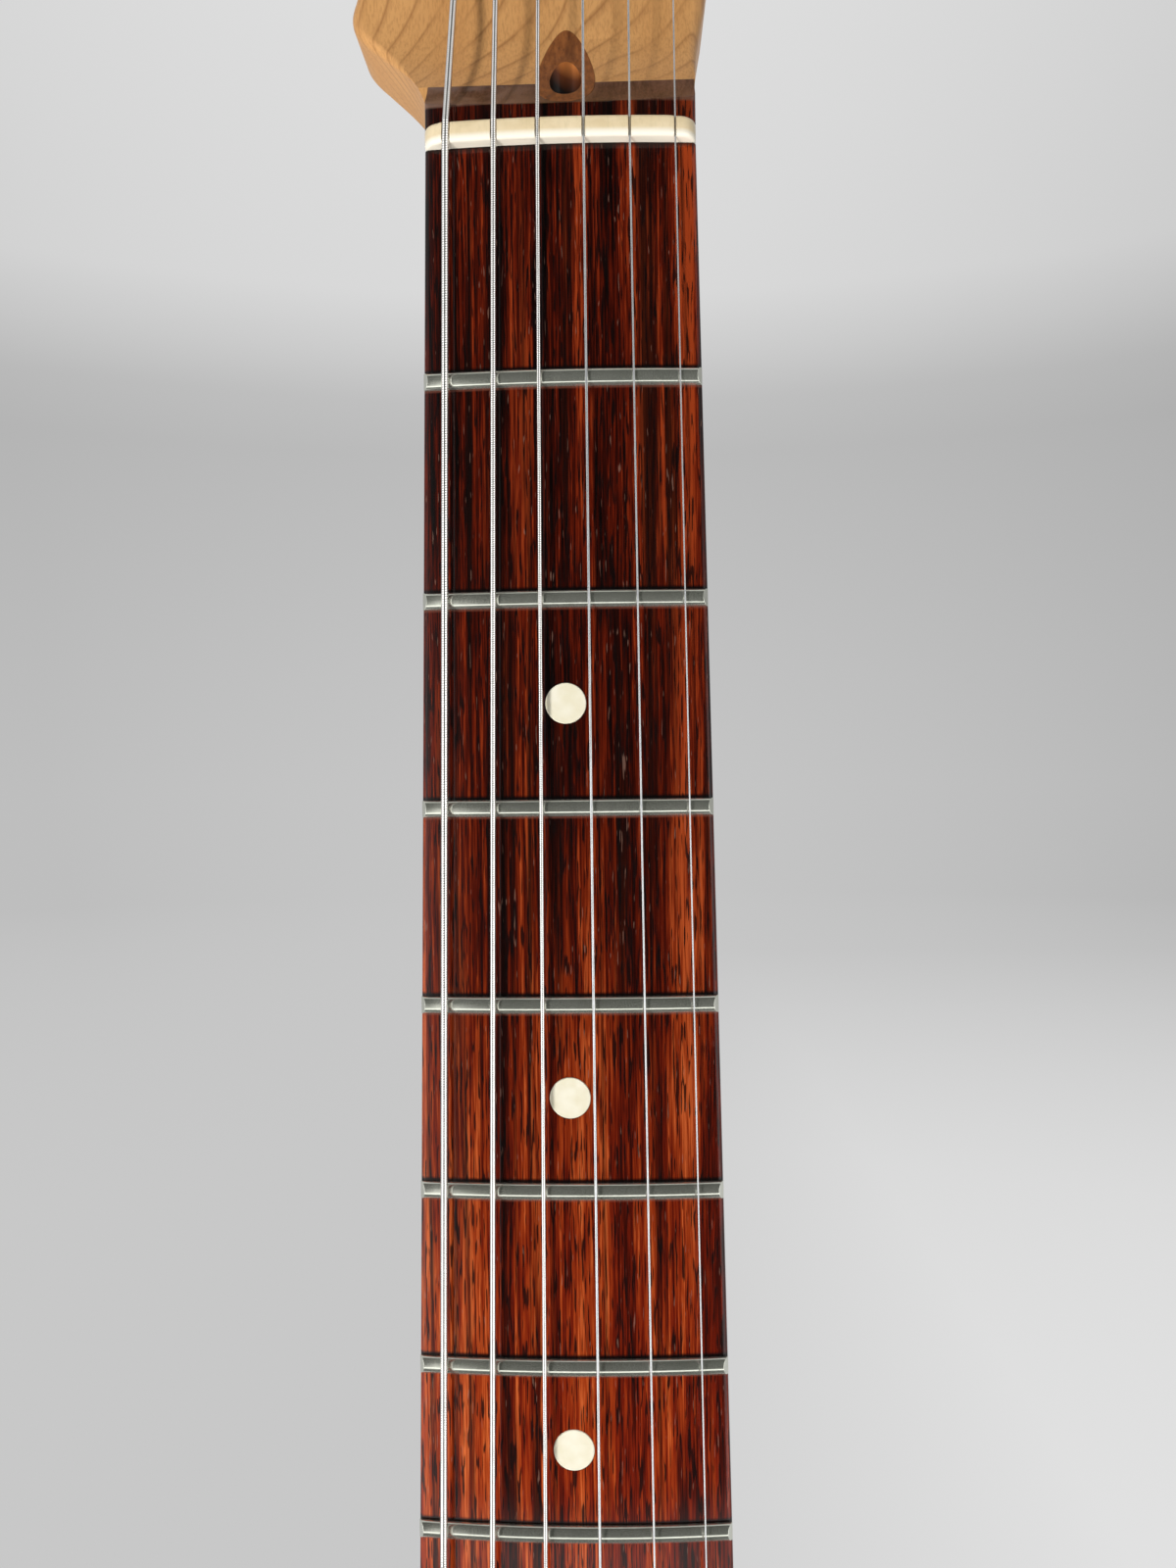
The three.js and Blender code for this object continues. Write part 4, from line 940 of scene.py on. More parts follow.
def make_strings(wound, plain, brass):
    for index, diameter in enumerate(STRING_DIAMETERS):
        path, radius = string_path(index), diameter / 2
        if index < len(WINDING_PITCHES):
            shape = wound_tube(path, radius, WINDING_PITCHES[index], diameter * WINDING_RIDGE_SHARE)
            material, slot = wound, "wound_string"
        else:
            shape = plain_tube(path, radius)
            material, slot = plain, "plain_string"
        line = solid(f"string_line_{index + 1}", shape)
        dress(line, material, f"string_{index + 1}", sharp=math.radians(80))
        twist_ends = (string_end - BALL_TWIST["overlap"], string_end + BALL_TWIST["length"])
        twist_path = [string_at(index, z) for z in twist_ends]
        thickness = radius + BALL_TWIST["wall"]
        twist = wound_tube(twist_path, thickness, BALL_TWIST["pitch"], BALL_TWIST["ridge"], 14)
        dress(solid(f"string_twist_{index + 1}", twist), plain, sharp=math.radians(80))
        dress(solid(f"string_ball_{index + 1}", ball_shape(index)), brass)


# Headstock plug, with the truss rod's access hole
def make_plug(material):
    plug = shade(solid("plug_wood", plug_bore(PLUG_DIAMETER)))
    low, high, over = shelf_end - PLUG_SHELF, SWEEP_TOP + 2 * OVERRUN, -2 * OVERRUN
    heights = (low, *steps(low, shelf_end, 2), *steps(shelf_end, SWEEP_TOP, 60))
    outline = [*((z, sweep_depth(z)) for z in heights), (high, FACE_DEPTH), (high, over), (low, over)]
    front = prism(outline, -NUT_WIDTH, NUT_WIDTH, across_neck)
    hole = rod(rod_axis(PLUG_BOTTOM - OVERRUN), rod_axis(SWEEP_TOP + OVERRUN), ACCESS_HOLE / 2, 64)
    carve(plug, [front, nut_seat(PLUG_BOTTOM - OVERRUN, 2 * OVERRUN), hole])
    dress(plug, material, "headstock_plug")


# Tuners
def around(index, radius, angle, depth):
    """A point about a post's axis."""
    return in_row(index, radius * math.sin(angle), depth, radius * math.cos(angle))


def gear_shape(index):
    half = math.pi * GEAR_MODULE / 4 - GEAR_BACKLASH / 2
    root, outer = gear_radius - GEAR_MODULE * DEDENDUM_SHARE, gear_radius + GEAR_MODULE * ADDENDUM_SHARE
    twist = GEAR_WIDTH * worm_lead / (math.pi * WORM_PITCH_DIAMETER) / gear_radius
    tooth = [(root, -1), (gear_radius, -1), (outer, -1), (outer, 1), (gear_radius, 1), (root, 1)]
    rings = []
    for share in (-0.5, *steps(-0.5, 0.5, 8)):
        ring = []
        for i in range(GEAR_TEETH):
            centre = (i + 0.5) / GEAR_TEETH * TURN + share * twist
            for radius, side in tooth:
                flank = (half - (radius - gear_radius) * math.tan(PRESSURE_ANGLE)) / gear_radius
                ring.append(around(index, radius, centre + side * flank, worm_depth + share * GEAR_WIDTH))
        rings.append(ring)
    return loft(rings)


def post_blend(start, end, top):
    """A smooth step from one radius to another, one taper long."""
    return [(lerp(start, end, smooth(s, 0, 1)), top + POST["taper"] * s) for s in steps(0, 1, 6)]


def post_shape(index):
    radius, waist = POST["diameter"] / 2, POST["waist"] / 2
    collar, gear_front = plate_back + COLLAR["lift"], worm_depth - GEAR_WIDTH / 2
    screw = GEAR_SCREW["diameter"] / 2
    lip, narrowing = POST["taper"] / 2, POST["waist_from"] - POST["taper"]
    profile = [
        (0, POST["top"]),
        *arc(radius - lip, POST["top"] + lip, lip, -QUARTER, 0, 6),
        (radius, narrowing),
        *post_blend(radius, waist, narrowing),
        (waist, POST["waist_to"]),
        *post_blend(waist, radius, POST["waist_to"]),
        (radius, collar),
        (COLLAR["diameter"] / 2, collar),
        (COLLAR["diameter"] / 2, gear_front),
        (screw, gear_front),
        (screw, screw_back - GEAR_SCREW["rim_height"]),
        (screw - GEAR_SCREW["rim"], screw_back),
        (0, screw_back),
    ]
    x, z = post_at(index)
    return lathe(profile, at(x, 0, z))


def end_slot(index, end, width, depth):
    """A slot across a post's end."""
    half = (POST["diameter"] + OVERRUN) / 2
    outline = rectangle(-half, half, -width / 2, width / 2)
    return prism(outline, end - depth, end + depth, lambda u, v, w: in_row(index, u, w, v))


def make_posts(material):
    for index in range(STRING_COUNT):
        body = f"tuner_post_{index + 1}"
        post = shade(solid(f"{body}_turned", post_shape(index)))
        carve(post, [gear_shape(index)], "UNION")
        slots = [end_slot(index, POST["top"], **POST_SLOT), end_slot(index, screw_back, **GEAR_SCREW_SLOT)]
        carve(post, slots)
        dress(post, material, body, body, math.radians(28))


def worm_shape(index, per_turn=32):
    buried = WORM_SHAFT / 2 - GEAR_BACKLASH

    def flank(radius, side):
        lean = (radius - WORM_PITCH_DIAMETER / 2) * math.tan(PRESSURE_ANGLE)
        return radius, side * (worm_lead / 4 - GEAR_BACKLASH - lean)

    thread = [flank(buried, -1), flank(worm_tip, -1), flank(worm_tip, 1), flank(buried, 1)]
    rings = []
    for turn in (-WORM_TURNS / 2, *steps(-WORM_TURNS / 2, WORM_TURNS / 2, int(WORM_TURNS * per_turn))):
        sin, cos = math.sin(TURN * turn), math.cos(TURN * turn)
        rings.append([
            in_row(index, worm_lead * turn + along, worm_depth + radius * sin, gear_centres - radius * cos)
            for radius, along in thread
        ])
    return loft(rings)


def key_rod(index, start, end, diameter, sides=40):
    """A cylinder along a key's axis."""
    return rod(*(in_row(index, x, worm_depth, gear_centres) for x in (start, end)), diameter / 2, sides)


def rounded(value):
    """A sine or cosine bent towards a superellipse's."""
    return math.copysign(abs(value) ** BUTTON["power"], value)


def button_shape(index):
    """A pressed oval button: superellipse slices from front to back with rounded rims."""
    half_long, half_wide = BUTTON["length"] / 2, BUTTON["width"] / 2
    half_thickness, rim = BUTTON["thickness"] / 2, BUTTON["round"]
    rings = []
    for angle in (0, *steps(0, math.pi, 14)):
        lift = (half_thickness - rim) * math.copysign(1, -math.cos(angle)) - rim * math.cos(angle)
        inset = rim * (1 - math.sin(angle))
        ring = []
        for j in range(72):
            x = (half_long - inset) * rounded(math.cos(TURN * j / 72)) - BUTTON["from"] - half_long
            z = (half_wide - inset) * rounded(math.sin(TURN * j / 72)) + gear_centres
            ring.append(in_row(index, x, worm_depth + lift, z))
        rings.append(ring)
    return loft(rings)


def make_keys(material):
    tail = WORM_HALF_LENGTH + EAR["gap"] + EAR["thickness"] + SHAFT_TAIL
    inside = -BUTTON["from"] - BUTTON["round"]
    for index in range(STRING_COUNT):
        body = f"tuner_key_{index + 1}"
        key = shade(solid(f"{body}_turned", key_rod(index, tail, inside, WORM_SHAFT)))
        stem = key_rod(index, STEM["length"] - BUTTON["from"], inside, STEM["diameter"])
        carve(key, [worm_shape(index), stem, button_shape(index)], "UNION")
        dress(key, material, body, body, math.radians(34))


def plate_outline():
    r = PLATE["round"]
    left, right = r - PLATE["bass"], PLATE["treble"] - r
    low, high = r - PLATE["tail"], ROW_PITCH * 5 + PLATE["head"] - r
    return [
        *arc(right, low, r, -QUARTER, 0, 10),
        *arc(right, high, r, 0, QUARTER, 10),
        *arc(left, high, r, QUARTER, math.pi, 10),
        *arc(left, low, r, math.pi, math.pi + QUARTER, 10),
    ]


def ear_shape(index, x):
    half = EAR["width"] / 2
    foot = plate_back - PLATE["thickness"] / 2
    outline = [(-half, foot), (half, foot), *arc(0, worm_depth, half, 0, math.pi, 24)]
    return prism(outline, x, x + EAR["thickness"], lambda u, v, w: in_row(index, w, v, gear_centres + u))


def make_plate(material):
    front = plate_back - PLATE["thickness"]
    shape = prism(plate_outline(), front, plate_back, lambda u, v, w: in_row(0, u, w, v))
    plate = shade(solid("tuner_plate_pressed", shape))
    soften(plate, PLATE_EDGE)
    settle(plate)
    near = WORM_HALF_LENGTH + EAR["gap"]
    far = near + EAR["thickness"]
    ends = (front - OVERRUN, plate_back + OVERRUN)
    carve(plate, [bore(post_at(index), *ends, post_bore) for index in range(STRING_COUNT)])
    for index in range(STRING_COUNT):
        carve(plate, [ear_shape(index, near), ear_shape(index, -far)], "UNION")
        for side in (1, -1):
            ear_bore = (side * (near - 1), side * (far + 1), WORM_SHAFT + 2 * RUNNING_CLEARANCE)
            carve(plate, [key_rod(index, *ear_bore, sides=48)])
    dress(plate, material, "tuner_plate", sharp=math.radians(20))


def make_bushings(material):
    outer, height, edge = BUSHING["diameter"] / 2, BUSHING["height"], BUSHING["edge"]
    profile = [
        (post_bore, 0),
        (outer, 0),
        *arc(outer - edge, edge - height, edge, 0, -QUARTER, 5),
        (post_bore + BUSHING["mouth"], -height),
        (post_bore, BUSHING["mouth_depth"] - height),
    ]
    for index in range(STRING_COUNT):
        x, z = post_at(index)
        bushing = solid(f"post_bushing_{index + 1}", ring_lathe(profile, at(x, FACE_DEPTH, z), BACKWARD))
        dress(bushing, material)


def cross_recess(place, size, depth):
    """Two bars of a cross recess about a place, cut along the headstock's depth."""
    half, thin = size / 2 * MM, size * CROSS_BAR_SHARE / 2 * MM
    bars = []
    for angle in (QUARTER / 2, QUARTER * 1.5):
        along, aside = (Vector((math.cos(a), 0, math.sin(a))) for a in (angle, angle + QUARTER))
        corners = [along * u + aside * v for u, v in rectangle(-half, half, -thin, thin)]
        bars.append(loft([[place + c + BACKWARD * w * MM for c in corners] for w in (-depth, depth)]))
    return bars


def make_plate_screws(material):
    head, height = PLATE_SCREW["head"] / 2, PLATE_SCREW["height"]
    profile = [(0, -SEAT_GAP), *arc(0, 0, head, 0, QUARTER, 8, height)[:-1], (0, height)]
    for number, step in enumerate(PLATE_SCREW_STEPS, 1):
        place = in_row(0, 0, plate_back + SEAT_GAP, ROW_PITCH * step)
        screw = shade(solid(f"plate_screw_{number}", lathe(profile, place, 40)))
        top = place + BACKWARD * height * MM
        carve(screw, cross_recess(top, **PLATE_SCREW_CROSS))
        dress(screw, material)


def make_tree(material):
    tree = cad_piece("string_tree")
    cover(tree, material)
    soften(tree, TREE["edge"], 2, math.radians(40))
    under = TREE["under_wing"] - SEAT_GAP - TREE["thickness"] - TREE_SCREW["gap"]
    end = FACE_DEPTH + TREE_SCREW["reach"] - ROD_CLEARANCE
    head, height, shank = TREE_SCREW["head"] / 2, TREE_SCREW["head_height"], TREE_SCREW["shank"] / 2
    dome = height * TREE_SCREW["dome_share"]
    profile = [
        (0, under - height),
        *arc(0, under - height + dome, head, QUARTER, 0, 8, -dome)[1:],
        (head, under),
        (shank, under),
        (shank, end - 2 * shank),
        (0, end),
    ]
    x, z = tree_place()
    screw = shade(solid("string_tree_screw_turned", lathe(profile, at(x, 0, z), 48)))
    carve(screw, cross_recess(at(x, under - height, z), **TREE_SCREW_CROSS))
    dress(screw, material, "string_tree_screw")


def make_side_dots(material):
    taper = at(-half_width(-1), 0, -1) - at(-half_width(0), 0, 0)
    inward = taper.cross(BACKWARD).normalized()
    for fret in DOT_FRETS:
        offsets = (-SIDE_DOT["octave_offset"], SIDE_DOT["octave_offset"]) if fret == 12 else (0.0,)
        for number, offset in enumerate(offsets, 1):
            z = dot_height(fret) + offset
            face = at(-half_width(z) - SIDE_DOT["stand"], SIDE_DOT["depth"], z)
            shape = rod(face, face + inward * MM, SIDE_DOT["diameter"] / 2, 32)
            dress(solid(f"side_dot_{fret:02d}_{number}", shape), material)


# Materials
class Nodes:
    """A node tree with short calls for what the materials and the world need."""

    def __init__(self, tree):
        self.tree = tree

    def node(self, kind, inputs=(), **settings):
        """A new node, with what its inputs hold or are fed by."""
        made = self.tree.nodes.new(kind)
        for key, value in settings.items():
            setattr(made, key, value)
        for socket, value in dict(inputs).items():
            self.feed(made.inputs[socket], value)
        return made

    def feed(self, socket, value):
        if isinstance(value, bpy.types.NodeSocket):
            self.tree.links.new(value, socket)
        else:
            socket.default_value = value

    def ramp(self, fac, *stops):
        """A colour ramp through (position, colour or grey) stops."""
        made = self.node("ShaderNodeValToRGB", {"Fac": fac})
        elements = made.color_ramp.elements
        while len(elements) < len(stops):
            elements.new(0.5)
        for element, (position, color) in zip(elements, stops):
            element.position = position
            element.color = (*color, 1) if isinstance(color, tuple) else (color, color, color, 1)
        return made.outputs["Color"]

    def math(self, operation, first, second=0.0):
        return self.node("ShaderNodeMath", {0: first, 1: second}, operation=operation).outputs["Value"]

    def times(self, first, second):
        return self.math("MULTIPLY", first, second)

    def plus(self, first, second):
        return self.math("ADD", first, second)

    def minus(self, first, second):
        return self.math("SUBTRACT", first, second)

    def mix(self, fac, first, second, blend="MIX"):
        full = [v if isinstance(v, bpy.types.NodeSocket) else (*v, 1) for v in (first, second)]
        inputs = {"Factor": fac, "A": full[0], "B": full[1]}
        return self.node("ShaderNodeMix", inputs, data_type="RGBA", blend_type=blend).outputs["Result"]

    def spans(self, value, low, high, to_low=0.0, to_high=1.0):
        inputs = {"Value": value, "From Min": low, "From Max": high, "To Min": to_low, "To Max": to_high}
        return self.node("ShaderNodeMapRange", inputs).outputs["Result"]

    def coordinates(self, kind):
        return self.node("ShaderNodeTexCoord").outputs[kind]

    def split(self, vector):
        return self.node("ShaderNodeSeparateXYZ", {0: vector}).outputs

    def glow(self, color, strength=1.0, kind="ShaderNodeBackground"):
        return self.node(kind, {"Color": color, "Strength": strength}).outputs[0]

    def choose(self, fac, first, second):
        return self.node("ShaderNodeMixShader", {0: fac, 1: first, 2: second}).outputs["Shader"]

    def ray(self, kind):
        return self.node("ShaderNodeLightPath").outputs[f"Is {kind} Ray"]

    def mirrored(self):
        """1 for a ray that a shiny or a clear surface sends on."""
        return self.math("MAXIMUM", self.ray("Glossy"), self.ray("Transmission"))


class Paint(Nodes):
    """A principled material."""

    def __init__(self, name, color=(0.5, 0.5, 0.5), roughness=0.5, metallic=0.0, **sockets):
        self.material = bpy.data.materials.new(name)
        self.material.use_nodes = True
        super().__init__(self.material.node_tree)
        self.shader = self.tree.nodes["Principled BSDF"]
        self.set("Base Color", (*color, 1))
        self.set("Roughness", roughness)
        self.set("Metallic", metallic)
        for socket, value in sockets.items():
            self.set(socket.replace("_", " "), value)

    def set(self, socket, value):
        self.feed(self.shader.inputs[socket], value)

    def axes(self):
        """The frame's x, y and z in metres."""
        return self.split(self.coordinates("Object"))

    def above(self, low, high, to_low=0.0, to_high=1.0):
        """Runs from one value to another between two heights above the nut datum, in millimetres."""
        return self.spans(self.axes()["Z"], nut_z + low * MM, nut_z + high * MM, to_low, to_high)

    def noise(self, grain, detail=2, roughness=0.5, shift=(0, 0, 0)):
        """Noise in grains of a width, depth and length in millimetres."""
        scale = [1000 / size for size in grain]
        inputs = {"Vector": self.coordinates("Object"), "Location": shift, "Scale": scale}
        place = self.node("ShaderNodeMapping", inputs).outputs["Vector"]
        inputs = {"Vector": place, "Scale": 1.0, "Detail": detail, "Roughness": roughness}
        return self.node("ShaderNodeTexNoise", inputs).outputs["Fac"]

    def bump(self, height, strength, distance):
        inputs = {"Strength": strength, "Distance": distance * MM, "Height": height}
        self.set("Normal", self.node("ShaderNodeBump", inputs).outputs["Normal"])


def linear(red, green, blue):
    """A colour given as it shows on a screen, from 0 to 255, as the shaders want it."""
    shares = [value / 255 for value in (red, green, blue)]
    return tuple(s / 12.92 if s <= 0.04045 else ((s + 0.055) / 1.055) ** 2.4 for s in shares)


# Rosewood tones near the nut and down the neck: partly the wood's own colour, partly painted light, with
# the board brighter and redder down the neck where more light falls.
ROSEWOOD_NEAR_NUT = (
    (0.42, linear(5, 0, 0)),
    (0.47, linear(48, 5, 0)),
    (0.53, linear(94, 22, 3)),
    (0.59, linear(150, 56, 20)),
)
ROSEWOOD_DOWN_NECK = (
    (0.41, linear(56, 6, 0)),
    (0.47, linear(116, 26, 4)),
    (0.53, linear(160, 58, 16)),
    (0.59, linear(212, 104, 50)),
)
ROSEWOOD_BARE = ((0.42, linear(66, 38, 26)), (0.6, linear(104, 70, 54)))
MAPLE_LAYER = 2.6
MAPLE_LAYER_SHARES = (0.45, -0.85)
MAPLE_LINE = ((0.0, 1.0), (0.07, 0.4), (0.24, 0.0), (0.9, 0.0), (1.0, 0.9))
# Painted light and shade on the access hole's wall, from dark deep in to lit raw wood at the mouth.
HOLE_PAINTED_LIGHT_AND_SHADE = ((0.05, linear(10, 3, 0)), (0.5, linear(88, 42, 14)), (0.95, linear(188, 112, 52)))


def fret_offset(look):
    """The number of frets down to a point, and how far it lies above the nearest one in millimetres."""
    share = look.above(0, -SCALE_LENGTH, 1, 0)
    fret = look.times(look.math("LOGARITHM", share, 2.0), -12.0)
    past = look.minus(fret, look.math("ROUND", fret))
    spacing = look.times(share, -SCALE_LENGTH * math.log(2) / 12)
    return fret, look.times(past, spacing)


def fret_painted_shadow_and_reflection(look, wood):
    """Wood with a painted reflection, a pale line below each fret, and a painted shadow, a dark line above
    it.
    """
    fret, offset = fret_offset(look)
    on_board = look.math("GREATER_THAN", fret, 0.5)
    # Painted reflection: a pale line just below each fret.
    below = look.times(look.spans(offset, -1.75, -1.5), look.spans(offset, 0, -1, 0, 0.5))
    # Painted shadow: a dark line just above each fret.
    above = look.times(look.spans(offset, 2.1, 1.65), look.spans(offset, 0, 1, 0, 0.96))
    wood = look.mix(look.times(below, on_board), wood, linear(120, 70, 56))
    return look.mix(look.times(above, on_board), wood, linear(4, 2, 2))


def rosewood():
    look = Paint("rosewood", roughness=0.45, Specular_IOR_Level=0.06, Coat_Weight=0.36, Coat_Roughness=0.08)
    broad = look.noise((5.5, 9, 160), 3, 0.55)
    narrow = look.noise((0.7, 2.5, 60), 3, 0.65, (3, 1, 7))
    fibre = look.noise((0.3, 0.6, 9), 2, 0.6, (8, 2, 5))
    grain = look.plus(look.times(broad, 0.42), look.times(narrow, 0.33))
    grain = look.plus(grain, look.times(fibre, 0.25))
    near_nut, down_neck = look.ramp(grain, *ROSEWOOD_NEAR_NUT), look.ramp(grain, *ROSEWOOD_DOWN_NECK)
    # Partly painted light: the board is made brighter down the neck.
    wood = look.mix(look.above(-90, -200), near_nut, down_neck)
    streaks = look.noise((1.5, 3, 110), 3, 0.5, (6, 2, 3))
    wood = look.mix(look.spans(streaks, 0.54, 0.68, 0, 0.9), wood, linear(12, 2, 1))
    dark_pore = look.ramp(look.noise((0.3, 0.5, 5.0), 1, 0.4, (1, 5, 2)), (0.58, 0.0), (0.63, 1.0))
    # Painted glints: pale flecks in the pores that stand in for light caught by their lacquer.
    pore_painted_glint = look.ramp(look.noise((0.3, 0.5, 3.2), 1, 0.4, (4, 9, 6)), (0.71, 0.0), (0.76, 1.0))
    wood = look.mix(look.times(dark_pore, 0.9), wood, linear(10, 3, 3))
    wood = look.mix(look.times(pore_painted_glint, 0.4), wood, linear(150, 112, 96))
    # Painted shadow above and painted reflection below each fret.
    wood = fret_painted_shadow_and_reflection(look, wood)
    # Painted shadow: dark just below the nut and, fainter, over the shelf behind it.
    nut_painted_shadow = look.times(look.above(-0.8, -0.2), look.above(NUT_THICKNESS, 0, 0.4, 0.8))
    wood = look.mix(nut_painted_shadow, wood, linear(16, 5, 3))
    # Painted sheen: paler patches on the bare sweep, towards the bass side.
    left_painted_sheen = look.spans(look.noise((7, 7, 4), 2, 0.5, (2, 7, 1)), 0.4, 0.6)
    left_painted_sheen = look.times(left_painted_sheen, look.spans(look.axes()["X"], 2 * MM, -10 * MM))
    bare = look.mix(left_painted_sheen, look.ramp(grain, *ROSEWOOD_BARE), linear(120, 92, 78))
    look.set("Base Color", look.mix(look.above(shelf_end + 0.1, shelf_end + 0.5), wood, bare))
    look.bump(look.minus(1.0, dark_pore), 0.35, 0.05)
    return look.material


def maple():
    look = Paint("maple", roughness=0.42, Specular_IOR_Level=0.22, Coat_Weight=0.1, Coat_Roughness=0.2)
    axes = look.axes()
    across, through = MAPLE_LAYER_SHARES
    layers = look.plus(look.times(axes["X"], across), look.times(axes["Y"], through))
    layers = look.plus(layers, look.above(0, 200, 0, -0.04))
    layers = look.plus(layers, look.times(look.noise((30, 30, 90)), 0.012))
    line = look.ramp(look.math("FRACT", look.times(layers, 1000 / MAPLE_LAYER)), *MAPLE_LINE)
    tone = look.noise((6, 6, 60), 3, 0.55, (2, 3, 1))
    body = look.ramp(tone, (0.3, linear(204, 149, 90)), (0.7, linear(213, 159, 99)))
    fleck = look.noise((0.3, 0.3, 1.6), 2, 0.6, (5, 1, 3))
    body = look.mix(look.spans(fleck, 0.45, 0.7, 0, 0.36), body, linear(150, 98, 54))
    line = look.times(line, look.spans(tone, 0.35, 0.65, 0.15, 0.62))
    look.set("Base Color", look.mix(line, body, linear(134, 82, 42)))
    look.bump(fleck, 0.12, 0.03)
    return look.material


def access_hole_share(look):
    """1 on the wall of the truss rod's access hole, 0 elsewhere."""
    axes = look.axes()
    slope = math.tan(ROD_TILT)
    middle = look.plus(look.times(axes["Z"], -slope), rod_axis(0).y + nut_z * slope)
    aside = look.minus(axes["X"], ROD_X * MM)
    deep = look.minus(axes["Y"], middle)
    apart = look.math("SQRT", look.plus(look.math("POWER", aside, 2.0), look.math("POWER", deep, 2.0)))
    over_nut = look.math("GREATER_THAN", axes["Z"], nut_z)
    return look.times(over_nut, look.math("LESS_THAN", apart, (ACCESS_HOLE / 2 + 0.05) * MM))


def hole_painted_light_and_shade(look):
    """Raw wood at the hole's mouth, with painted light at its upper right and painted shade deeper in and
    to the left.
    """
    axes = look.axes()
    height = look.plus(axes["Z"], look.times(axes["X"], 0.5))
    return look.ramp(look.spans(height, nut_z + 12.4 * MM, nut_z + 17.6 * MM), *HOLE_PAINTED_LIGHT_AND_SHADE)


def walnut():
    look = Paint("walnut", roughness=0.45, Specular_IOR_Level=0.25)
    streak = look.noise((0.8, 0.8, 22), 3, 0.6)
    wood = look.ramp(streak, (0.35, linear(112, 62, 28)), (0.65, linear(146, 88, 44)))
    pore = look.ramp(look.noise((0.22, 0.3, 1.8), 1, 0.4, (2, 2, 2)), (0.62, 0.0), (0.7, 1.0))
    wood = look.mix(look.times(pore, 0.5), wood, linear(64, 38, 26))
    # The access hole's wall, with painted light and shade.
    look.set("Base Color", look.mix(access_hole_share(look), wood, hole_painted_light_and_shade(look)))
    look.bump(look.minus(1.0, pore), 0.2, 0.04)
    return look.material


def bone():
    look = Paint("bone", roughness=0.3, Coat_Weight=0.2, Coat_Roughness=0.1)
    cloud = look.noise((5, 2, 2.4), 3, 0.55)
    body = look.ramp(cloud, (0.35, linear(232, 210, 167)), (0.65, linear(243, 223, 184)))
    streak = look.noise((0.5, 1.5, 1.2), 2, 0.5, (3, 1, 2))
    body = look.mix(look.spans(streak, 0.5, 0.8, 0, 0.3), body, linear(206, 188, 138))
    # Painted light: the nut's lower part, which faces the light from below, is made whiter.
    look.set("Base Color", look.mix(look.above(1.3, 0.7), body, linear(255, 246, 226)))
    return look.material


def inlay():
    look = Paint("inlay", roughness=0.32, Coat_Weight=0.3, Coat_Roughness=0.1)
    cloud = look.noise((2.6, 2.6, 2.6))
    look.set("Base Color", look.ramp(cloud, (0.35, linear(241, 233, 204)), (0.65, linear(250, 244, 222))))
    return look.material


def metal(name, low, high, roughness, scratches=(0.12, 3.0, 0.12), strength=0.08, satin_share=1.0):
    """A brushed metal, its scratches of a width, depth and length in millimetres."""
    look = Paint(name, roughness=roughness, metallic=satin_share)
    cloud = look.noise((4, 4, 4), 3, 0.6)
    look.set("Base Color", look.ramp(cloud, (0.3, linear(*low)), (0.7, linear(*high))))
    brushed = look.noise(scratches, 2, 0.6)
    look.set("Roughness", look.spans(brushed, 0.3, 0.7, roughness * 0.75, roughness * 1.25))
    look.bump(brushed, strength, 0.01)
    return look.material


maple_wood, rosewood_wood, walnut_wood = maple(), rosewood(), walnut()
bone_white, inlay_cream = bone(), inlay()
fret_metal = metal("nickel_silver", (196, 198, 186), (212, 213, 202), 0.15, (0.08, 2.0, 2.0), 0.15, 0.85)
wound_metal = metal("wrap_wire", (214, 212, 210), (232, 230, 228), 0.2, satin_share=0.92)
plain_metal = metal("plain_wire", (188, 190, 192), (206, 207, 208), 0.22, satin_share=0.85)
plated_metal = metal("nickel_plate", (196, 197, 199), (212, 212, 214), 0.16, (3.0, 0.2, 0.2), 0.04)
bare_steel = metal("bare_steel", (130, 131, 134), (152, 153, 156), 0.4)
ball_brass = metal("ball_brass", (186, 150, 84), (206, 172, 104), 0.3)

make_neck(maple_wood)
make_stripe(walnut_wood)
make_board(rosewood_wood)
make_dots(inlay_cream)
make_frets(fret_metal)
make_nut(bone_white)
make_plug(walnut_wood)
make_strings(wound_metal, plain_metal, ball_brass)
make_posts(plated_metal)
make_keys(plated_metal)
make_plate(plated_metal)
make_bushings(plated_metal)
make_plate_screws(plated_metal)
make_tree(plated_metal)
make_side_dots(inlay_cream)
for rod_node in ("truss_rod", "truss_rod_nut", "truss_rod_anchor"):
    cover(cad_piece(rod_node), bare_steel)


# Stage: floor, world and lamps, in metres, and directions by the parts of a unit heading
FLOOR_REACH = 40.0
FLOOR_TONE = linear(238, 239, 240)
NEAR_FLOOR = (0.12, 0.3)
FLAG_REACH = ((-0.07, -0.045), (0.07, 0.03))
FLAG_DROP = 0.001
SKY_RISES = (0.0, 0.1, 0.2, 0.27, 0.31, 0.345, 0.385, 0.55, 1.0)
SKY_LEVELS = (197, 194, 190, 187, 192, 205, 217, 222, 226)
SKY_SIDE = 0.45
SKY_SIDE_DIM = {"curve": -0.56, "slope": -0.084}
SOFT_LIGHT = 0.37
ROOM_DARK = linear(58, 60, 55)
ROOM_BRIGHT = (2.8, 2.8, 2.75)
SHEET_BRIGHT = (2.0, 2.0, 1.96)
LEFT_SHEET = (-0.26, -0.52)
RIGHT_SHEET = (0.34, 0.54)
SHEET_FADE = {"rise_from": 0.25, "rise_to": -0.05, "least": 0.35}
FLOOR_SHEET = ((-0.46, -0.42), (-0.28, -0.32))
BACKDROP_FROM = (-0.32, -0.2)
LAMP_TARGET = Vector((0, 0, 0.3))
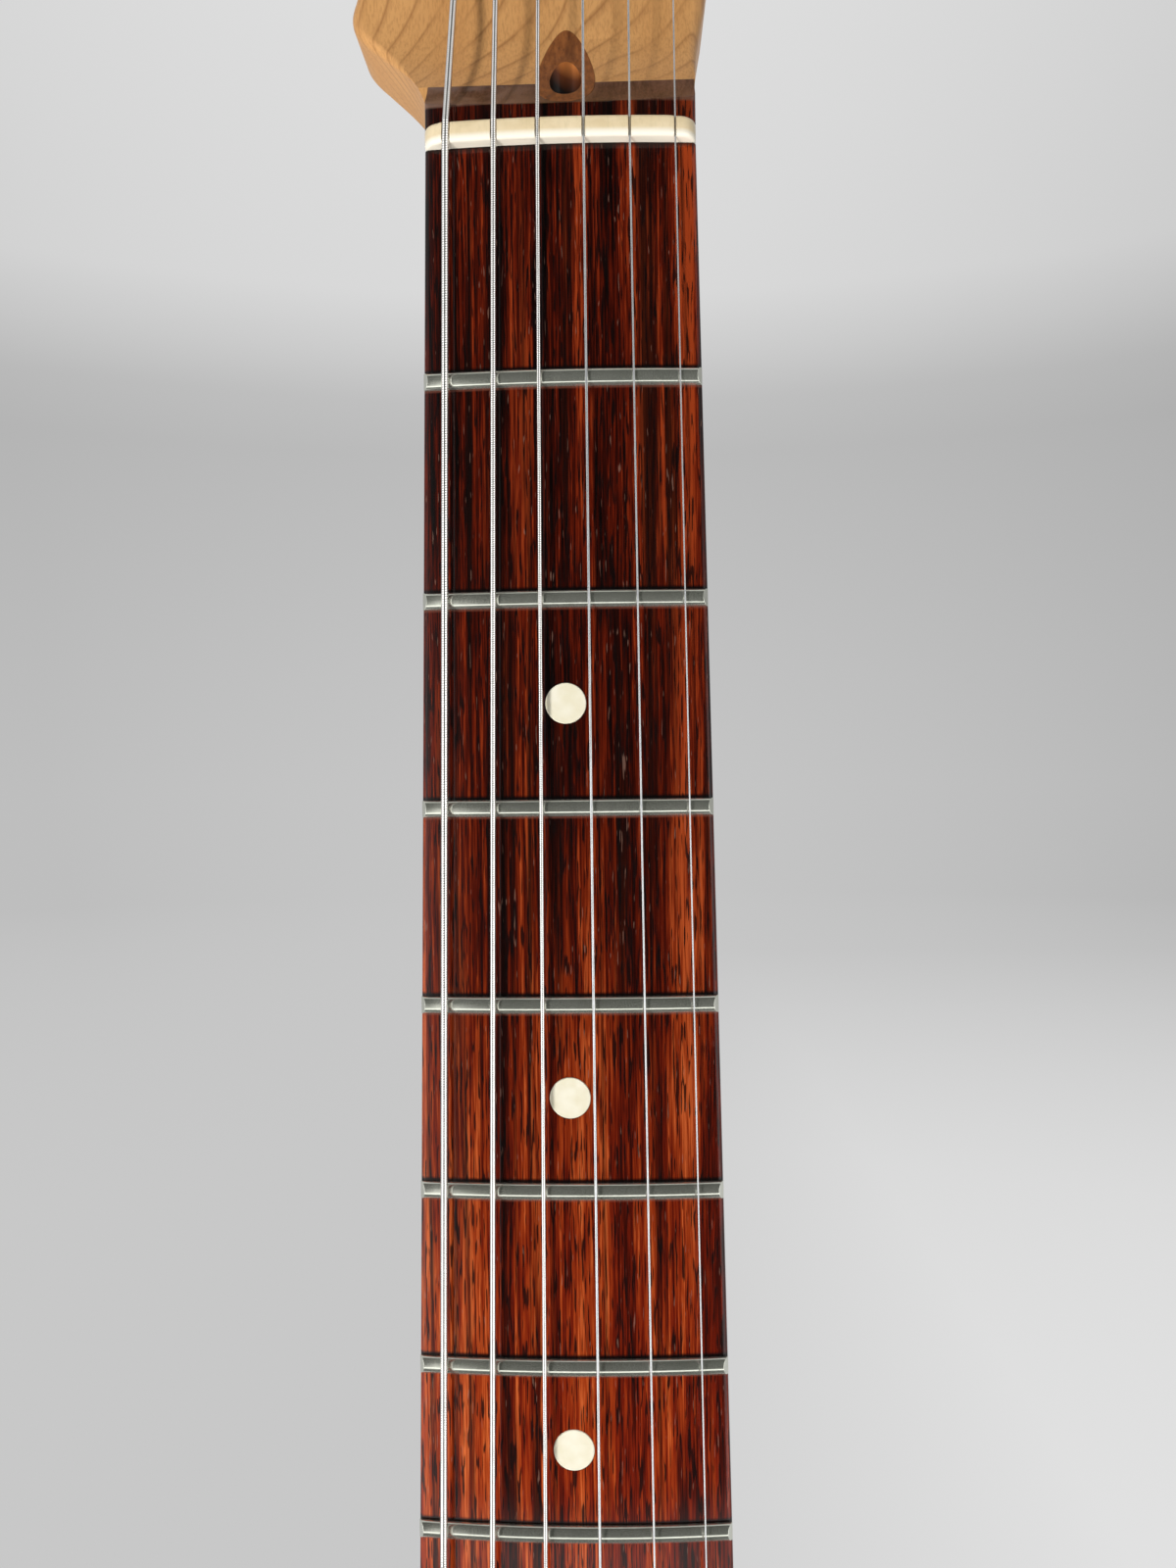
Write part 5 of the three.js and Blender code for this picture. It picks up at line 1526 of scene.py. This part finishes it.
LAMPS = {
    "key_lamp": {"place": (-0.7, -1.4, -0.15), "size": (0.2, 0.2), "watts": 17.2},
    "low_lamp": {"place": (-0.1, -0.55, -1.8), "size": (0.7, 0.7), "watts": 19.5},
    "top_lamp": {"place": (0.0, 1.0, 1.4), "size": (1.2, 0.8), "watts": 12},
}


def side_shade(nodes, x):
    """How a backdrop dims towards its sides, by a heading's x."""
    aside = nodes.math("MINIMUM", nodes.math("MAXIMUM", x, -SKY_SIDE), SKY_SIDE)
    curve = nodes.times(nodes.times(aside, aside), SKY_SIDE_DIM["curve"])
    return nodes.plus(nodes.plus(curve, nodes.times(aside, SKY_SIDE_DIM["slope"])), 1.0)


def aside_share(nodes, x):
    """1 towards the bright sheets at both sides, by a heading's x."""
    return nodes.math("MAXIMUM", nodes.spans(x, *LEFT_SHEET), nodes.spans(x, *RIGHT_SHEET))


def make_world():
    world = bpy.data.worlds.new("studio")
    bpy.context.scene.world = world
    world.use_nodes = True
    nodes = Nodes(world.node_tree)
    heading = nodes.split(nodes.coordinates("Generated"))
    stops = [(rise, linear(level, level, level)) for rise, level in zip(SKY_RISES, SKY_LEVELS)]
    backdrop = nodes.ramp(heading["Z"], *stops)
    backdrop = nodes.mix(1.0, backdrop, side_shade(nodes, heading["X"]), "MULTIPLY")
    low = nodes.spans(heading["Z"], SHEET_FADE["rise_from"], SHEET_FADE["rise_to"], SHEET_FADE["least"], 1)
    room = nodes.mix(nodes.times(aside_share(nodes, heading["X"]), low), ROOM_DARK, ROOM_BRIGHT)
    room = nodes.mix(nodes.spans(heading["Y"], *BACKDROP_FROM), room, backdrop)
    lit = nodes.choose(nodes.mirrored(), nodes.glow((1, 1, 1, 1), SOFT_LIGHT), nodes.glow(room))
    surface = nodes.choose(nodes.ray("Camera"), lit, nodes.glow(backdrop))
    nodes.feed(nodes.tree.nodes["World Output"].inputs["Surface"], surface)


def floor_seen(nodes, spot, heading):
    """The floor's pale glow, which meets the backdrop's at the horizon; painted light makes it brighter
    towards the right and the front.
    """
    # Painted light: brighter towards the right and the front.
    right = nodes.times(nodes.spans(spot["X"], -0.1, 0.25), nodes.spans(spot["Y"], 2.5, 0.3))
    near = nodes.mix(right, linear(200, 200, 200), linear(226, 226, 226))
    horizon = nodes.mix(1.0, linear(197, 197, 197), side_shade(nodes, heading["X"]), "MULTIPLY")
    return nodes.mix(nodes.spans(heading["Length"], 1.0, 4.0), near, horizon)


def floor_mirrored(nodes, spot, heading, pale):
    """What shiny pieces see of the floor: dark, but for a bright strip in front and bright sides."""
    near_edge, far_edge = FLOOR_SHEET
    strip = nodes.times(nodes.spans(spot["Y"], *near_edge), nodes.spans(spot["Y"], *far_edge))
    front = nodes.mix(strip, ROOM_DARK, SHEET_BRIGHT)
    aside = nodes.times(aside_share(nodes, heading["X"]), nodes.spans(heading["Length"], 0.25, 0.5))
    front = nodes.mix(aside, front, ROOM_BRIGHT)
    return nodes.mix(nodes.spans(heading["Y"], *BACKDROP_FROM), front, pale)


def level_sheet(name, low, high, level):
    """A flat sheet of the stage, between two (x, y) corners."""
    corners = [(x, y, level) for x, y in rectangle(low[0], high[0], low[1], high[1])]
    sheet = solid(name, (corners, [(0, 1, 2, 3)]))
    return sheet


def make_floor(level):
    floor = level_sheet("floor", (-FLOOR_REACH, -FLOOR_REACH), (FLOOR_REACH, FLOOR_REACH), level)
    nodes = Paint("floor", FLOOR_TONE, 0.9, Specular_IOR_Level=0.0)
    place = nodes.coordinates("Object")
    spot = nodes.split(place)
    turned = nodes.node("ShaderNodeVectorMath", {0: place}, operation="NORMALIZE")
    length = nodes.node("ShaderNodeVectorMath", {0: place}, operation="LENGTH")
    axes = nodes.split(turned.outputs["Vector"])
    heading = {"X": axes["X"], "Y": axes["Y"], "Length": length.outputs["Value"]}
    pale = floor_seen(nodes, spot, heading)
    away = nodes.times(nodes.ray("Camera"), nodes.spans(heading["Length"], *NEAR_FLOOR))
    glow = nodes.glow(pale, kind="ShaderNodeEmission")
    mirror = nodes.glow(floor_mirrored(nodes, spot, heading, pale), kind="ShaderNodeEmission")
    surface = nodes.choose(away, nodes.shader.outputs["BSDF"], glow)
    surface = nodes.choose(nodes.mirrored(), surface, mirror)
    nodes.feed(nodes.tree.nodes["Material Output"].inputs["Surface"], surface)
    cover(floor, nodes.material)
    floor.visible_shadow = False


def make_lamp(name, place, size, watts):
    lamp = bpy.data.objects.new(name, bpy.data.lights.new(name, "AREA"))
    bpy.context.scene.collection.objects.link(lamp)
    lamp.data.shape = "RECTANGLE"
    lamp.data.size, lamp.data.size_y = size
    lamp.data.energy = watts
    lamp.location = place
    lamp.rotation_mode = "QUATERNION"
    lamp.rotation_quaternion = (LAMP_TARGET - lamp.location).to_track_quat("-Z", "Y")
    lamp.visible_camera = False
    lamp.visible_glossy = False


floor_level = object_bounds()[0].z
make_floor(floor_level)
level_sheet("flag", *FLAG_REACH, floor_level - FLAG_DROP)  # keeps the low lamp off the heel's end
make_world()
for lamp_name, lamp_sizes in LAMPS.items():
    make_lamp(lamp_name, **lamp_sizes)

bpy.context.scene.view_settings.view_transform = "Standard"
